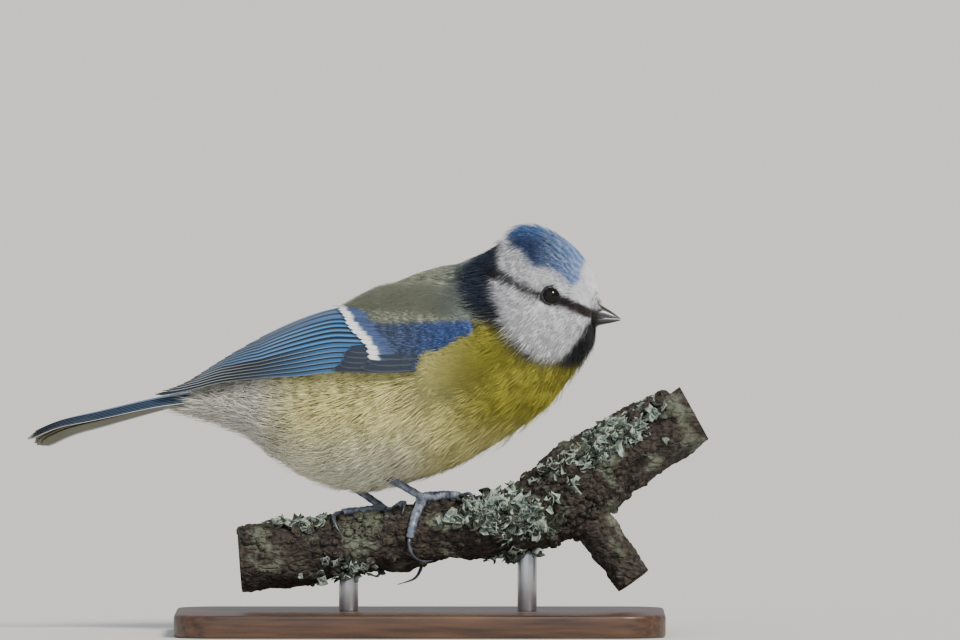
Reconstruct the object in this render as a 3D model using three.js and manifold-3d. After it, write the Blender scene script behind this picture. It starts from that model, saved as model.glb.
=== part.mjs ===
// Blue tit perched on a cut length of lichened branch, on a plain display stand.
// Millimetres, +Z up. The origin is the centre of the stand base's underside. The bird looks along +X,
// turned a little towards -Y, and its right side faces -Y.
import * as THREE from "three";
import { mergeVertices } from "three/addons/utils/BufferGeometryUtils.js";
import Module from "manifold-3d";

const wasm = await Module();
wasm.setup();

// Driving sizes
const GAP = 0.3; // between solids that touch
const BIRD_YAW = -10; // degrees; turns the bill towards -Y
const BIRD_X = -1.6; // where the bird's own origin stands on the base
const BASE = { length: 96, width: 60, height: 4.5, corner: 9, bevel: 0.6 };
const ROD = { radius: 1.9, sides: 20, places: [-14, 21] };

// The flesh with its coat: planes from the back's line to the keel's line, tail root first, bill last.
// back and keel are [x, z] in the bird's middle plane; half is the half width; widest is how far up it is.
const BODY = [
  { back: [-39.4, 49.0], keel: [-41.0, 43.1], half: 4.5, widest: 0.5 },
  { back: [-35.9, 51.0], keel: [-36.7, 41.8], half: 6.3, widest: 0.5 },
  { back: [-31.9, 53.1], keel: [-31.9, 39.4], half: 9.0, widest: 0.5 },
  { back: [-27.1, 55.7], keel: [-26.9, 35.3], half: 12.0, widest: 0.5 },
  { back: [-21.9, 58.6], keel: [-21.5, 31.4], half: 14.6, widest: 0.5 },
  { back: [-15.9, 62.2], keel: [-15.1, 29.2], half: 16.6, widest: 0.5 },
  { back: [-9.2, 65.9], keel: [-8.8, 28.6], half: 17.8, widest: 0.49 },
  { back: [-2.4, 69.3], keel: [-0.8, 30.4], half: 18.2, widest: 0.48 },
  { back: [3.6, 71.6], keel: [7.6, 33.1], half: 17.8, widest: 0.47 },
  { back: [8.6, 72.6], keel: [15.5, 36.9], half: 16.8, widest: 0.46 },
  { back: [12.5, 74.1], keel: [22.3, 41.4], half: 15.3, widest: 0.46 },
  { back: [15.5, 75.3], keel: [27.3, 45.5], half: 13.8, widest: 0.46 },
  { back: [18.1, 76.9], keel: [30.5, 49.6], half: 12.7, widest: 0.46 },
  { back: [20.3, 79.0], keel: [32.9, 53.1], half: 12.0, widest: 0.46 },
  { back: [23.1, 79.8], keel: [34.7, 55.9], half: 11.1, widest: 0.46 },
  { back: [27.1, 79.1], keel: [35.7, 58.0], half: 10.0, widest: 0.45 },
  { back: [30.9, 77.0], keel: [36.1, 59.6], half: 8.5, widest: 0.44 },
  { back: [33.9, 73.9], keel: [36.2, 60.2], half: 6.9, widest: 0.43 },
  { back: [35.9, 70.4], keel: [36.1, 60.6], half: 5.2, widest: 0.42 },
  { back: [36.9, 67.3], keel: [35.9, 60.9], half: 3.7, widest: 0.42 },
];
const BODY_RINGS = 2; // rings for each plane
const BODY_SIDES = 26;
const NECK_CUTS = [
  { name: "lower", back: [10.0, 72.9], keel: [28.7, 46.3] },
  { name: "upper", back: [17.5, 76.1], keel: [32.7, 52.5] },
];

const EYE = { x: 29.8, z: 66.7, radius: 2.05, depth: 1.25, sink: 0.15, detail: 14 };
const LID = { ring: 2.3, tube: 0.42, sides: 5, rings: 14 };

// Bill: x stations with the culmen, the mouth's line, the underside and the half width
const BILL = [
  { x: 33.4, culmen: 66.0, mouth: 61.9, under: 60.2, half: 2.2 },
  { x: 35.6, culmen: 65.6, mouth: 61.9, under: 60.4, half: 2.1 },
  { x: 37.1, culmen: 64.9, mouth: 62.0, under: 60.6, half: 1.75 },
  { x: 38.7, culmen: 64.0, mouth: 62.0, under: 60.9, half: 1.25 },
  { x: 40.1, culmen: 63.1, mouth: 61.95, under: 61.2, half: 0.8 },
  { x: 41.0, culmen: 62.4, mouth: 61.9, under: 61.45, half: 0.42 },
  { x: 41.5, culmen: 62.0, mouth: 61.8, under: 61.6, half: 0.16 },
];
const NOSTRIL = { x: 36.9, z: 63.75, half: 1.72, radius: 0.42 };

// Folded wing: its upper edge and its lower edge, shoulder first, tip last, with the least half widths
const WING = [
  { top: [15.0, 61.0], low: [16.2, 58.4], topY: 0, lowY: 0 },
  { top: [11.4, 62.2], low: [13.1, 55.7], topY: 0, lowY: 0 },
  { top: [6.5, 62.4], low: [6.7, 52.5], topY: 0, lowY: 0 },
  { top: [-0.5, 62.6], low: [-0.3, 51.6], topY: 0, lowY: 0 },
  { top: [-8.6, 62.6], low: [-7.3, 51.6], topY: 10.5, lowY: 0 },
  { top: [-14.1, 62.3], low: [-12.4, 51.6], topY: 7.0, lowY: 0 },
  { top: [-21.6, 60.0], low: [-19.8, 50.8], topY: 4.4, lowY: 0 },
  { top: [-29.7, 56.3], low: [-28.6, 50.2], topY: 3.4, lowY: 9.8 },
  { top: [-37.7, 52.2], low: [-37.0, 49.2], topY: 2.9, lowY: 6.8 },
  { top: [-44.7, 49.1], low: [-43.8, 48.2], topY: 2.8, lowY: 5.0 },
  { top: [-51.3, 47.5], low: [-51.2, 46.9], topY: 2.8, lowY: 3.6 },
];
const WING_CLEAR = 1.0; // of the wing's sheet over the body's side

// Wing feathers. A share is part of the wing's width from its top edge, 0, to its low edge, 1. Lengths
// are along the wing in stations of WING.
const FLIGHT = {
  root: 4.1,
  thickness: 0.6,
  tucked: 0.05, // how far each reaches under the one above
  highest: 1.5, // lift of the top feather's outer face over the sheet
  step: 0.14, // from each feather down to the next
  inset: 0.006, // of each hidden edge from the one above it
  rows: [
    { name: "tertial", count: 3, share: 0.36, firstTip: 6.9, lastTip: 7.6 },
    { name: "secondary", count: 3, share: 0.28, firstTip: 7.85, lastTip: 8.6 },
    { name: "primary", count: 5, share: 0.36, firstTip: 8.85, lastTip: 9.9 },
  ],
};
// Covert rows: share of the wing's width, stations of the roots and tips at the top and low edges
const COVERTS = [
  { name: "median", count: 3, span: [0.03, 0.78], roots: [2.4, 1.5], tips: [3.9, 2.8], rise: 0.5 },
  { name: "greater", count: 5, span: [0.02, 0.77], roots: [3.5, 2.4], tips: [5.05, 3.7], rise: 0.3 },
  { name: "primary", count: 2, span: [0.74, 0.985], roots: [3.2, 2.9], tips: [4.9, 4.7], rise: 0.25 },
  { name: "alula", count: 2, span: [0.8, 0.97], roots: [1.9, 1.7], tips: [3.7, 3.3], rise: 0.5 },
];
const COVERT = { thickness: 0.85, sunk: 0.7, tucked: 0.03 };
const ARM = { under: 0.35, depth: 3.0, tailDepth: 0.4, end: 6.6, sides: 6 };

// Tail: the ridge of the middle pair, root first, and the fan of one side
const TAIL_RIDGE = [
  [-37.5, 48.6],
  [-44.5, 47.2],
  [-51.2, 46.1],
  [-62.2, 43.5],
  [-70.1, 41.6],
  [-76.6, 38.8],
];
const TAIL = {
  pairs: 6,
  thickness: 0.55,
  drop: 0.26, // each feather lies this much under its inner neighbour
  rootSpread: 0.3,
  tipSpread: 0.62,
  rootHalf: 1.1,
  tipHalf: 2.05,
  roll: 11, // degrees at the tip, lifting the right edge
  tips: [0.955, 0.97, 0.985, 1.0, 0.995, 0.975],
  lean: 0.2, // how far the roof of the folded tail slopes
};

// Branch: [x, y, z, radius] along its middle line, and the side shoot that leaves it
const BRANCH = [
  [-35.3, -0.6, 14.3, 6.0],
  [-27.5, -0.3, 14.9, 6.2],
  [-19.6, 0.0, 16.1, 6.0],
  [-11.8, 0.0, 17.5, 5.8],
  [-3.9, 0.0, 18.4, 5.9],
  [3.9, 0.0, 20.2, 6.0],
  [11.8, 0.0, 21.2, 6.3],
  [19.6, 0.2, 22.2, 6.9],
  [25.5, 0.6, 24.7, 7.3],
  [31.4, 1.0, 28.6, 7.5],
  [37.3, 1.3, 33.1, 7.2],
  [43.1, 1.6, 37.1, 6.7],
  [49.0, 1.9, 40.4, 6.3],
  [53.9, 2.1, 43.1, 6.0],
];
const SHOOT = [
  [28.5, 0.6, 28.0, 4.6],
  [32.0, 0.2, 23.6, 4.3],
  [35.6, -0.2, 19.4, 4.0],
  [39.2, -0.6, 14.5, 3.8],
  [42.0, -1.0, 10.6, 3.7],
];
const BARK = { rings: 3, sides: 14, knots: 0.05, ridges: 0.035 };

// Toes and claws: [station along the branch, angle round it from the top towards -Y in degrees]
const TOE = { root: 0.95, tip: 0.74, sides: 6, scutes: 4, raised: 0.12, lift: 0.85 };
const CLAW = { root: 0.52, tip: 0.1, sides: 5, rings: 6, lifts: [0.9, 1.5, 1.25, 0.45] };
const FEET = {
  right: {
    joint: [4.78, 13, 1.25],
    ankle: [-10.6, -8.3, 33.4],
    thigh: [-14.2, -8.6, 36.6],
    toes: {
      hallux: { pad: [[4.72, -8], [4.7, -38], [4.64, -72], [4.52, -106]] },
      inner: {
        pad: [[4.9, 2], [5.15, -16], [5.38, -36], [5.52, -56]],
        claw: [[5.57, -64], [5.62, -80], [5.6, -98], [5.5, -112]],
      },
      middle: {
        pad: [[4.95, 12], [5.15, 10], [5.38, 14], [5.58, 20]],
        claw: [[5.66, 23], [5.82, 30], [5.92, 42], [5.92, 56]],
      },
      outer: {
        pad: [[4.72, 20], [4.58, 42], [4.42, 66], [4.25, 88]],
        claw: [[4.2, 97], [4.22, 114], [4.38, 130], [4.66, 142]],
      },
    },
  },
  left: {
    joint: [3.82, -40, 1.25],
    ankle: [-19.3, 7.6, 33.0],
    thigh: [-22.0, 8.4, 37.0],
    toes: {
      hallux: {
        pad: [[3.72, -34], [3.4, -20], [3.05, -6], [2.72, 8]],
        claw: [[2.6, 15], [2.5, 32], [2.52, 50], [2.64, 66]],
      },
      inner: {
        pad: [[3.94, -36], [4.08, -27], [4.2, -16], [4.28, -4]],
        claw: [[4.31, 3], [4.33, 14], [4.28, 27], [4.18, 38]],
      },
      middle: {
        pad: [[3.98, -48], [4.16, -64], [4.24, -86], [4.2, -108]],
        claw: [[4.18, -117], [4.2, -133], [4.1, -149], [3.96, -160]],
      },
      outer: {
        pad: [[3.8, -54], [3.76, -78], [3.66, -100], [3.52, -120]],
        claw: [[3.48, -129], [3.42, -144], [3.34, -158], [3.2, -170]],
      },
    },
  },
};
// The right hind claw hangs clear under the branch: its own points, in the stand's frame
const HANGING_CLAW = [
  [0.4, 4.0, 14.6],
  [0.1, 2.4, 12.6],
  [-1.2, 0.8, 10.8],
  [-4.4, -0.2, 9.7],
];
const ANKLE = { radius: 1.15, detail: 10 };
const TARSUS = { top: 1.05, foot: 0.85, sides: 8, scutes: 6, raised: 0.1, thigh: 2.4 };

const COLOURS = {
  coat: { color: "#b5ad6b", roughness: 0.85 },
  head: { color: "#d9dce2", roughness: 0.85 },
  collar: { color: "#1c2b42", roughness: 0.8 },
  wing: { color: "#4f79ad", roughness: 0.6 },
  tail: { color: "#5b7397", roughness: 0.6 },
  bill: { color: "#33323a", roughness: 0.35 },
  eye: { color: "#120e0c", roughness: 0.05 },
  leg: { color: "#59617a", roughness: 0.55 },
  claw: { color: "#3b3e4b", roughness: 0.4 },
  bark: { color: "#4a3f33", roughness: 0.95 },
  stand: { color: "#3c2a1e", roughness: 0.45 },
  rod: { color: "#8d8f94", roughness: 0.3, metalness: 1 },
};

// Small helpers

const radians = (degrees) => (degrees * Math.PI) / 180;
const lerp = (a, b, t) => a + (b - a) * t;
const clamp = (v, low, high) => Math.min(high, Math.max(low, v));
const smooth = (t) => clamp(t, 0, 1) ** 2 * (3 - 2 * clamp(t, 0, 1));
const vec = (x, y, z) => new THREE.Vector3(x, y, z);

// A smooth curve through evenly numbered values, read at any station between them
function through(values, station) {
  const last = values.length - 1;
  const i = Math.min(Math.floor(clamp(station, 0, last)), last - 1);
  const t = clamp(station, 0, last) - i;
  const p1 = values[i];
  const p2 = values[i + 1];
  const p0 = i > 0 ? values[i - 1] : 2 * p1 - p2;
  const p3 = i + 2 <= last ? values[i + 2] : 2 * p2 - p1;
  const bend = 2 * p0 - 5 * p1 + 4 * p2 - p3;
  return 0.5 * (2 * p1 + (p2 - p0) * t + bend * t * t + (3 * p1 - p0 - 3 * p2 + p3) * t ** 3);
}

function solidOf(positions, triangles) {
  const solid = new wasm.Manifold(
    new wasm.Mesh({
      numProp: 3,
      vertProperties: new Float32Array(positions),
      triVerts: new Uint32Array(triangles),
    }),
  );
  if (solid.volume() > 0) return solid;
  const turned = [];
  for (let i = 0; i < triangles.length; i += 3) turned.push(triangles[i], triangles[i + 2], triangles[i + 1]);
  return solidOf(positions, turned);
}

function solidOfGeometry(geometry) {
  const bare = geometry.clone();
  bare.deleteAttribute("normal");
  bare.deleteAttribute("uv");
  const merged = mergeVertices(bare, 1e-4);
  return solidOf(merged.attributes.position.array, merged.index.array);
}

// Closes rings of points into a body. A thin vane has the lower half of each ring split as the upper half is.
function solidOfRings(rings, thinVane = false) {
  const sides = rings[0].length;
  const positions = rings.flat().flatMap((p) => [p.x, p.y, p.z]);
  const triangles = [];
  for (let i = 0; i + 1 < rings.length; i++) {
    for (let j = 0; j < sides; j++) {
      const a = i * sides + j;
      const b = i * sides + ((j + 1) % sides);
      const [c, d] = [b + sides, a + sides];
      if (thinVane && j >= sides / 2) triangles.push(a, b, d, b, c, d);
      else triangles.push(a, b, c, a, c, d);
    }
  }
  for (const [first, flip] of [[0, true], [(rings.length - 1) * sides, false]]) {
    const ring = rings[first / sides];
    const middle = ring.reduce((sum, p) => sum.add(p), vec(0, 0, 0)).divideScalar(sides);
    const hub = positions.length / 3;
    positions.push(middle.x, middle.y, middle.z);
    for (let j = 0; j < sides; j++) {
      const [a, b] = [first + j, first + ((j + 1) % sides)];
      triangles.push(hub, flip ? b : a, flip ? a : b);
    }
  }
  return solidOf(positions, triangles);
}

const join = (solids) => solids.reduce((sum, s) => sum.add(s));

function largest(solid) {
  const pieces = solid.decompose();
  return pieces.reduce((best, s) => (s.volume() > best.volume() ? s : best));
}

function geometryOf(solid) {
  const mesh = solid.getMesh();
  const positions = new Float32Array(mesh.numVert * 3);
  for (let i = 0; i < mesh.numVert; i++)
    positions.set(mesh.vertProperties.subarray(i * mesh.numProp, i * mesh.numProp + 3), i * 3);
  const geometry = new THREE.BufferGeometry();
  geometry.setAttribute("position", new THREE.BufferAttribute(positions, 3));
  geometry.setIndex(new THREE.BufferAttribute(mesh.triVerts, 1));
  geometry.computeVertexNormals();
  return geometry;
}

function meshOf(name, solid, look) {
  const mesh = new THREE.Mesh(geometryOf(largest(solid)), new THREE.MeshStandardMaterial(COLOURS[look]));
  mesh.name = name;
  return mesh;
}

// A round bar along points, with a radius for each, without twist
function tube(points, radii, sides) {
  let across = vec(0.31, 0.93, 0.2);
  const rings = points.map((p, i) => {
    const [before, after] = [points[Math.max(i - 1, 0)], points[Math.min(i + 1, points.length - 1)]];
    const along = after.clone().sub(before).normalize();
    across = across.clone().addScaledVector(along, -across.dot(along)).normalize();
    const other = along.clone().cross(across);
    return Array.from({ length: sides }, (_, j) => {
      const angle = (2 * Math.PI * j) / sides;
      const out = across.clone().multiplyScalar(Math.cos(angle)).addScaledVector(other, Math.sin(angle));
      return p.clone().addScaledVector(out, radii[i]);
    });
  });
  return solidOfRings(rings);
}

function curve(points, count) {
  const line = new THREE.CatmullRomCurve3(points);
  return Array.from({ length: count }, (_, i) => line.getPoint(i / (count - 1)));
}

// Body

function bodyPlane(u) {
  const read = (pick) => through(BODY.map(pick), u);
  const back = [read((s) => s.back[0]), read((s) => s.back[1])];
  const keel = [read((s) => s.keel[0]), read((s) => s.keel[1])];
  return { back, keel, half: read((s) => s.half), widest: read((s) => s.widest) };
}

// A point of the skin: angle 0 is the left side, 90 the back and -90 the keel
function bodyPoint(u, angle, grow = 0) {
  const { back, keel, half, widest } = bodyPlane(u);
  const height = Math.hypot(back[0] - keel[0], back[1] - keel[1]);
  const up = [(back[0] - keel[0]) / height, (back[1] - keel[1]) / height];
  const sine = Math.sin(angle);
  const reach = (sine > 0 ? (1 - widest) * height : widest * height) + grow;
  return vec(
    lerp(keel[0], back[0], widest) + up[0] * reach * sine,
    (half + grow) * Math.cos(angle),
    lerp(keel[1], back[1], widest) + up[1] * reach * sine,
  );
}

// Half width of the body where a line across it passes x, z, or 0 above and below it
function bodySide(x, z) {
  const side = (u) => {
    const { back, keel } = bodyPlane(u);
    return (back[0] - keel[0]) * (z - keel[1]) - (back[1] - keel[1]) * (x - keel[0]);
  };
  let [low, high] = [0, BODY.length - 1];
  if (side(low) > 0 || side(high) < 0) return { half: 0, u: side(low) > 0 ? low : high, angle: 0 };
  for (let i = 0; i < 40; i++) {
    const middle = (low + high) / 2;
    if (side(middle) < 0) low = middle;
    else high = middle;
  }
  const { back, keel, half, widest } = bodyPlane(low);
  const height = Math.hypot(back[0] - keel[0], back[1] - keel[1]);
  const rise = Math.hypot(x - keel[0], z - keel[1]) * Math.sign(z - keel[1]) - widest * height;
  const sine = rise / (rise > 0 ? (1 - widest) * height : widest * height);
  if (Math.abs(sine) >= 1) return { half: 0, u: low, angle: Math.sign(sine) * Math.PI * 0.5 };
  return { half: half * Math.sqrt(1 - sine * sine), u: low, angle: Math.asin(sine) };
}

function bodySolid(grow = 0) {
  const rings = [];
  const last = (BODY.length - 1) * BODY_RINGS;
  for (let i = 0; i <= last; i++) {
    const angles = Array.from({ length: BODY_SIDES }, (_, j) => (2 * Math.PI * j) / BODY_SIDES);
    rings.push(angles.map((angle) => bodyPoint(i / BODY_RINGS, angle, grow)));
  }
  if (grow > 0) {
    const moved = (ring, x) => ring.map((p) => p.clone().add(vec(x, 0, 0)));
    rings.unshift(moved(rings[0], -grow));
    rings.push(moved(rings.at(-1), grow));
  }
  return solidOfRings(rings);
}

// Cuts a solid by a plane across the neck and gives the side towards the bill, or towards the tail
function neckSide(solid, cut, towardsBill) {
  const along = [cut.back[1] - cut.keel[1], cut.keel[0] - cut.back[0]];
  const size = Math.hypot(...along) * (towardsBill ? 1 : -1);
  const normal = [along[0] / size, 0, along[1] / size];
  const offset = normal[0] * cut.back[0] + normal[2] * cut.back[1] + GAP / 2;
  return solid.trimByPlane(normal, offset);
}

// Eyes

function eyeSeat(side) {
  const place = bodySide(EYE.x, EYE.z);
  const at = (du, da) => bodyPoint(place.u + du, place.angle + da);
  const normal = at(0.2, 0).sub(at(-0.2, 0)).cross(at(0, 0.1).sub(at(0, -0.1))).normalize();
  if (normal.y < 0) normal.negate();
  const surface = at(0, 0).addScaledVector(normal, -EYE.sink);
  const centre = surface.clone().addScaledVector(normal, -EYE.depth);
  for (const v of [surface, centre, normal]) v.y *= side;
  return { surface, centre, normal };
}

function ball(centre, radius, detail) {
  const geometry = new THREE.SphereGeometry(radius, detail, detail / 2);
  geometry.rotateX(Math.PI / 2);
  geometry.translate(centre.x, centre.y, centre.z);
  return solidOfGeometry(geometry);
}

function lidRing(seat) {
  const geometry = new THREE.TorusGeometry(LID.ring, LID.tube, LID.sides, LID.rings);
  geometry.applyQuaternion(new THREE.Quaternion().setFromUnitVectors(vec(0, 0, 1), seat.normal));
  geometry.translate(seat.surface.x, seat.surface.y, seat.surface.z);
  return solidOfGeometry(geometry);
}

// Bill

function billHalf(upper) {
  const arch = 8;
  const rings = BILL.map(({ x, culmen, mouth, under, half }) => {
    const edge = mouth + (upper ? GAP : -GAP) / 2;
    const top = upper ? culmen : under;
    return Array.from({ length: arch + 1 }, (_, j) => {
      const angle = (Math.PI * j) / arch;
      return vec(x, half * Math.cos(angle), lerp(edge, top, Math.sin(angle) ** 0.85));
    });
  });
  return solidOfRings(rings);
}

function nostril(side) {
  const geometry = new THREE.SphereGeometry(NOSTRIL.radius, 8, 6);
  geometry.scale(1.6, 1, 0.8);
  geometry.translate(NOSTRIL.x, side * NOSTRIL.half, NOSTRIL.z);
  return solidOfGeometry(geometry);
}

// Wing: a sheet over the body's side, station s along it and t across it from its top edge to its low edge.
// It is worked out at whole stations and straight between them, so feathers laid on it stay parallel.

function sheetPoint(station, t) {
  const read = (pick) => through(WING.map(pick), station);
  const [top, low] = [0, 1].map((i) => [read((k) => k.top[i]), read((k) => k.low[i])]);
  const x = lerp(top[0], top[1], t);
  const z = low[1] + (low[0] - low[1]) * Math.cos((t * Math.PI) / 2);
  const edge = (place, least) => Math.max(bodySide(...place).half + WING_CLEAR, read(least));
  const topY = edge([top[0], low[0]], (k) => k.topY);
  const lowY = edge([top[1], low[1]], (k) => k.lowY);
  const y = lerp(topY, lowY, Math.sin((t * Math.PI) / 2));
  return vec(x, Math.max(y, bodySide(x, z).half + WING_CLEAR), z);
}

function stationPoint(station, t, lift) {
  const upper = Math.min(t, 0.95);
  const across = sheetPoint(station, upper + 0.05).sub(sheetPoint(station, upper));
  const along = sheetPoint(station + 0.2, t).sub(sheetPoint(station - 0.2, t));
  const normal = along.cross(across).normalize();
  if (normal.y < 0) normal.negate();
  return sheetPoint(station, t).addScaledVector(normal, lift);
}

function wingPoint(s, t, side, lift) {
  const first = Math.min(Math.floor(s), WING.length - 2);
  const p = stationPoint(first, t, lift).lerp(stationPoint(first + 1, t, lift), s - first);
  p.y *= side;
  return p;
}

// The flight feathers in order down the wing: where each starts and ends across it, and its tip
const FEATHERS = FLIGHT.rows.flatMap(({ count, share, firstTip, lastTip }, row) => {
  const before = FLIGHT.rows.slice(0, row).reduce((sum, r) => sum + r.share, 0);
  return Array.from({ length: count }, (_, i) => ({
    start: before + (share * i) / count,
    tip: lerp(firstTip, lastTip, i / (count - 1)),
  }));
});

// Height of the folded feathers' outer faces over the sheet, as they step down from the top edge
const pile = (t) => FLIGHT.highest - FLIGHT.step * (FEATHERS.length - 1) * t;

// Share of the wing's width whose feathers have ended before station s; the others sweep up to fill it
function endedShare(s) {
  const next = FEATHERS.findIndex(({ tip }) => tip > s);
  if (next === 0) return 0;
  if (next < 0) return FEATHERS.at(-1).start;
  const [a, b] = [FEATHERS[next - 1], FEATHERS[next]];
  return lerp(a.start, b.start, (s - a.tip) / (b.tip - a.tip));
}

// Where feather n comes out from under the one above it, and where its hidden edge lies
function flightEdge(n, s) {
  const ended = endedShare(s);
  const start = n < FEATHERS.length ? FEATHERS[n].start : 1;
  const seen = (start - ended) / (1 - ended);
  const hidden = Math.max(FLIGHT.inset * n, seen - FLIGHT.tucked);
  return { seen: Math.max(hidden + FLIGHT.inset, seen), hidden };
}

function flightFeathers(side) {
  return FEATHERS.map(({ tip }, n) => {
    const lift = FLIGHT.highest - FLIGHT.step * n;
    const round = 0.4;
    const stations = [FLIGHT.root];
    for (let k = Math.ceil(FLIGHT.root); k < tip - round - 0.1; k++) stations.push(k);
    stations.push(tip - round * 0.7, tip);
    const rings = stations.map((s) => {
      const [own, next] = [flightEdge(n, s), flightEdge(n + 1, s)];
      const end = n + 1 < FEATHERS.length ? next.seen : 1;
      const under = clamp(next.hidden, own.seen + FLIGHT.inset / 2, end - FLIGHT.inset / 2);
      const middle = lerp(own.seen, end, 0.4);
      const width = Math.sqrt(1 - clamp((s - tip + round) / round, 0, 0.93) ** 2);
      const ts = [own.hidden, own.seen, under, end].map((t) => lerp(middle, t, width));
      return [
        ...ts.map((t) => wingPoint(s, t, side, lift)),
        ...ts.map((t) => wingPoint(s, t, side, lift - FLIGHT.thickness)).reverse(),
      ];
    });
    return solidOfRings(rings, true);
  });
}

const COVERT_SHAPE = [[0, 0.9], [0.62, 1], [1, 0.45]];
function covertFeathers(side) {
  return COVERTS.flatMap((row) =>
    Array.from({ length: row.count }, (_, i) => {
      const [t0, t1] = [i, i + 1].map((k) => lerp(...row.span, k / row.count));
      const middle = (t0 + t1) / 2;
      const [root, tip] = [lerp(...row.roots, middle), lerp(...row.tips, middle)];
      const rings = COVERT_SHAPE.map(([q, width]) => {
        const s = lerp(root, tip, q);
        const [low, high] = [Math.max(0.012, t0 - COVERT.tucked), t1].map((t) => lerp(middle, t, width));
        const lift = pile(t0) + row.rise - COVERT.sunk * (1 - smooth(q / 0.5));
        const bottom = lift - COVERT.thickness;
        const section = [[low, lift], [high, lift], [high, bottom], [low, bottom]];
        return section.map(([t, h]) => wingPoint(s, t, side, h));
      });
      return solidOfRings(rings, true);
    }),
  );
}

// The folded arm under the coverts
function wingArm(side) {
  const stations = [0, 0.3, 0.7, 1.3, 2.2, 3.3, 4.3, 5.3, ARM.end];
  const rings = stations.map((s) => {
    const round = lerp(0.25, 1, Math.sqrt(1 - (1 - clamp(s / 1.2, 0, 1)) ** 2));
    const depth = lerp(ARM.depth, ARM.tailDepth, smooth((s - 5) / 1.6)) * round;
    const steps = Array.from({ length: ARM.sides }, (_, j) => j / (ARM.sides - 1) - 0.5);
    const ts = steps.map((step) => 0.5 + step * 0.97 * round);
    const outer = (t) => pile(t) * round - ARM.under;
    return [
      ...ts.map((t) => wingPoint(s, t, side, outer(t))),
      ...ts.map((t) => wingPoint(s, t, side, outer(t) - depth)).reverse(),
    ];
  });
  return solidOfRings(rings, true);
}

function wing(side, bodyGrown) {
  const pieces = [wingArm(side), ...flightFeathers(side), ...covertFeathers(side)];
  return largest(join(pieces).subtract(bodyGrown));
}

// Tail: six pairs of feathers folded into a low roof

const VANE_STATIONS = [0, 0.25, 0.5, 0.75, 0.93, 0.975, 1];
function tailVane({ tip, middle, half, height, thickness }) {
  const rings = VANE_STATIONS.map((q) => {
    const s = q * tip;
    const pastRound = clamp((q - 0.93) / 0.07, 0, 0.985);
    const w = half(s) * Math.sqrt(1 - pastRound ** 2);
    const [y0, y1] = [middle(s) - w, middle(s) + w];
    const under = height - thickness;
    return [[y0, height], [y1, height], [y1, under], [y0, under]].map(([y, h]) => tailPoint(s, y, h));
  });
  return solidOfRings(rings, true);
}

function tailPoint(q, y, h) {
  const last = TAIL_RIDGE.length - 1;
  const at = (k) => [0, 1].map((axis) => through(TAIL_RIDGE.map((p) => p[axis]), k * last));
  const [here, ahead, behind] = [at(q), at(Math.min(1, q + 0.02)), at(Math.max(0, q - 0.02))];
  const along = vec(ahead[0] - behind[0], 0, ahead[1] - behind[1]).normalize();
  const up = vec(0, 1, 0).cross(along).negate().normalize();
  const roll = radians(TAIL.roll) * smooth(q);
  const roof = h - TAIL.lean * Math.abs(y);
  const across = y * Math.cos(roll) + roof * Math.sin(roll);
  const above = roof * Math.cos(roll) - y * Math.sin(roll);
  return vec(here[0], across, here[1]).addScaledVector(up.z > 0 ? up : up.negate(), above);
}

function tailSolid(bodyGrown) {
  const pieces = [];
  for (let i = 0; i < TAIL.pairs; i++) {
    for (const side of [-1, 1]) {
      pieces.push(
        tailVane({
          tip: TAIL.tips[i] - (side > 0 ? 0.004 : 0),
          middle: (q) => side * (0.6 + i * lerp(TAIL.rootSpread, TAIL.tipSpread, q)),
          half: (q) => lerp(TAIL.rootHalf, TAIL.tipHalf, smooth(q * 1.4)),
          height: -i * TAIL.drop - (side > 0 ? TAIL.drop / 2 : 0),
          thickness: TAIL.thickness,
        }),
      );
    }
  }
  return largest(join(pieces).subtract(bodyGrown));
}

// Branch

const branchStation = (pick, u) => through(BRANCH.map((p) => p[pick]), u);
function barkRadius(u, angle) {
  const knots = BARK.knots * Math.sin(3 * angle + 1.7 * u) * Math.sin(1.3 * u + 0.4);
  const ridges = BARK.ridges * Math.sin(5 * angle - 2.3 * u);
  return branchStation(3, u) * (1 + knots + ridges);
}

// A point on the bark: angle in degrees from the top towards -Y
function barkPoint(u, degrees, lift = 0) {
  const angle = radians(degrees);
  const middle = (k) => vec(branchStation(0, k), branchStation(1, k), branchStation(2, k));
  const along = middle(u + 0.05).sub(middle(u - 0.05)).normalize();
  const over = vec(-along.z, 0, along.x).normalize();
  const radius = barkRadius(u, angle) + lift;
  return middle(u)
    .addScaledVector(over, radius * Math.cos(angle))
    .addScaledVector(vec(0, -1, 0), radius * Math.sin(angle));
}

function branchSolid(grow = 0) {
  const rings = [];
  const last = (BRANCH.length - 1) * BARK.rings;
  for (let i = 0; i <= last; i++) {
    rings.push(
      Array.from({ length: BARK.sides }, (_, j) => barkPoint(i / BARK.rings, (360 * j) / BARK.sides, grow)),
    );
  }
  return solidOfRings(rings);
}

function shootSolid(grow = 0) {
  const points = curve(SHOOT.map((p) => vec(p[0], p[1], p[2])), 9);
  const radii = points.map((_, i) => through(SHOOT.map((p) => p[3]), (i / 8) * (SHOOT.length - 1)) + grow);
  return tube(points, radii, 12);
}

// Legs and feet

// A line of points over the bark at even steps through given places
function overBark(places, count, lift) {
  return Array.from({ length: count }, (_, i) => {
    const share = i / (count - 1);
    const read = (axis) => through(places.map((p) => p[axis]), share * (places.length - 1));
    return barkPoint(read(0), read(1), lift(share));
  });
}

// Scutes as raised plates: each is two rings, the far one standing proud
function scutedBar(points, root, tip, { scutes, raised, sides }) {
  const steps = Array.from({ length: scutes * 2 + 1 }, (_, i) => i);
  const places = steps.map((i) => (Math.floor(i / 2) + (i % 2) * 0.8) / scutes);
  const line = new THREE.CatmullRomCurve3(points);
  const radii = places.map((q, i) => lerp(root, tip, q) + (i % 2) * raised);
  return tube(places.map((q) => line.getPoint(q)), radii, sides);
}

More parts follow.
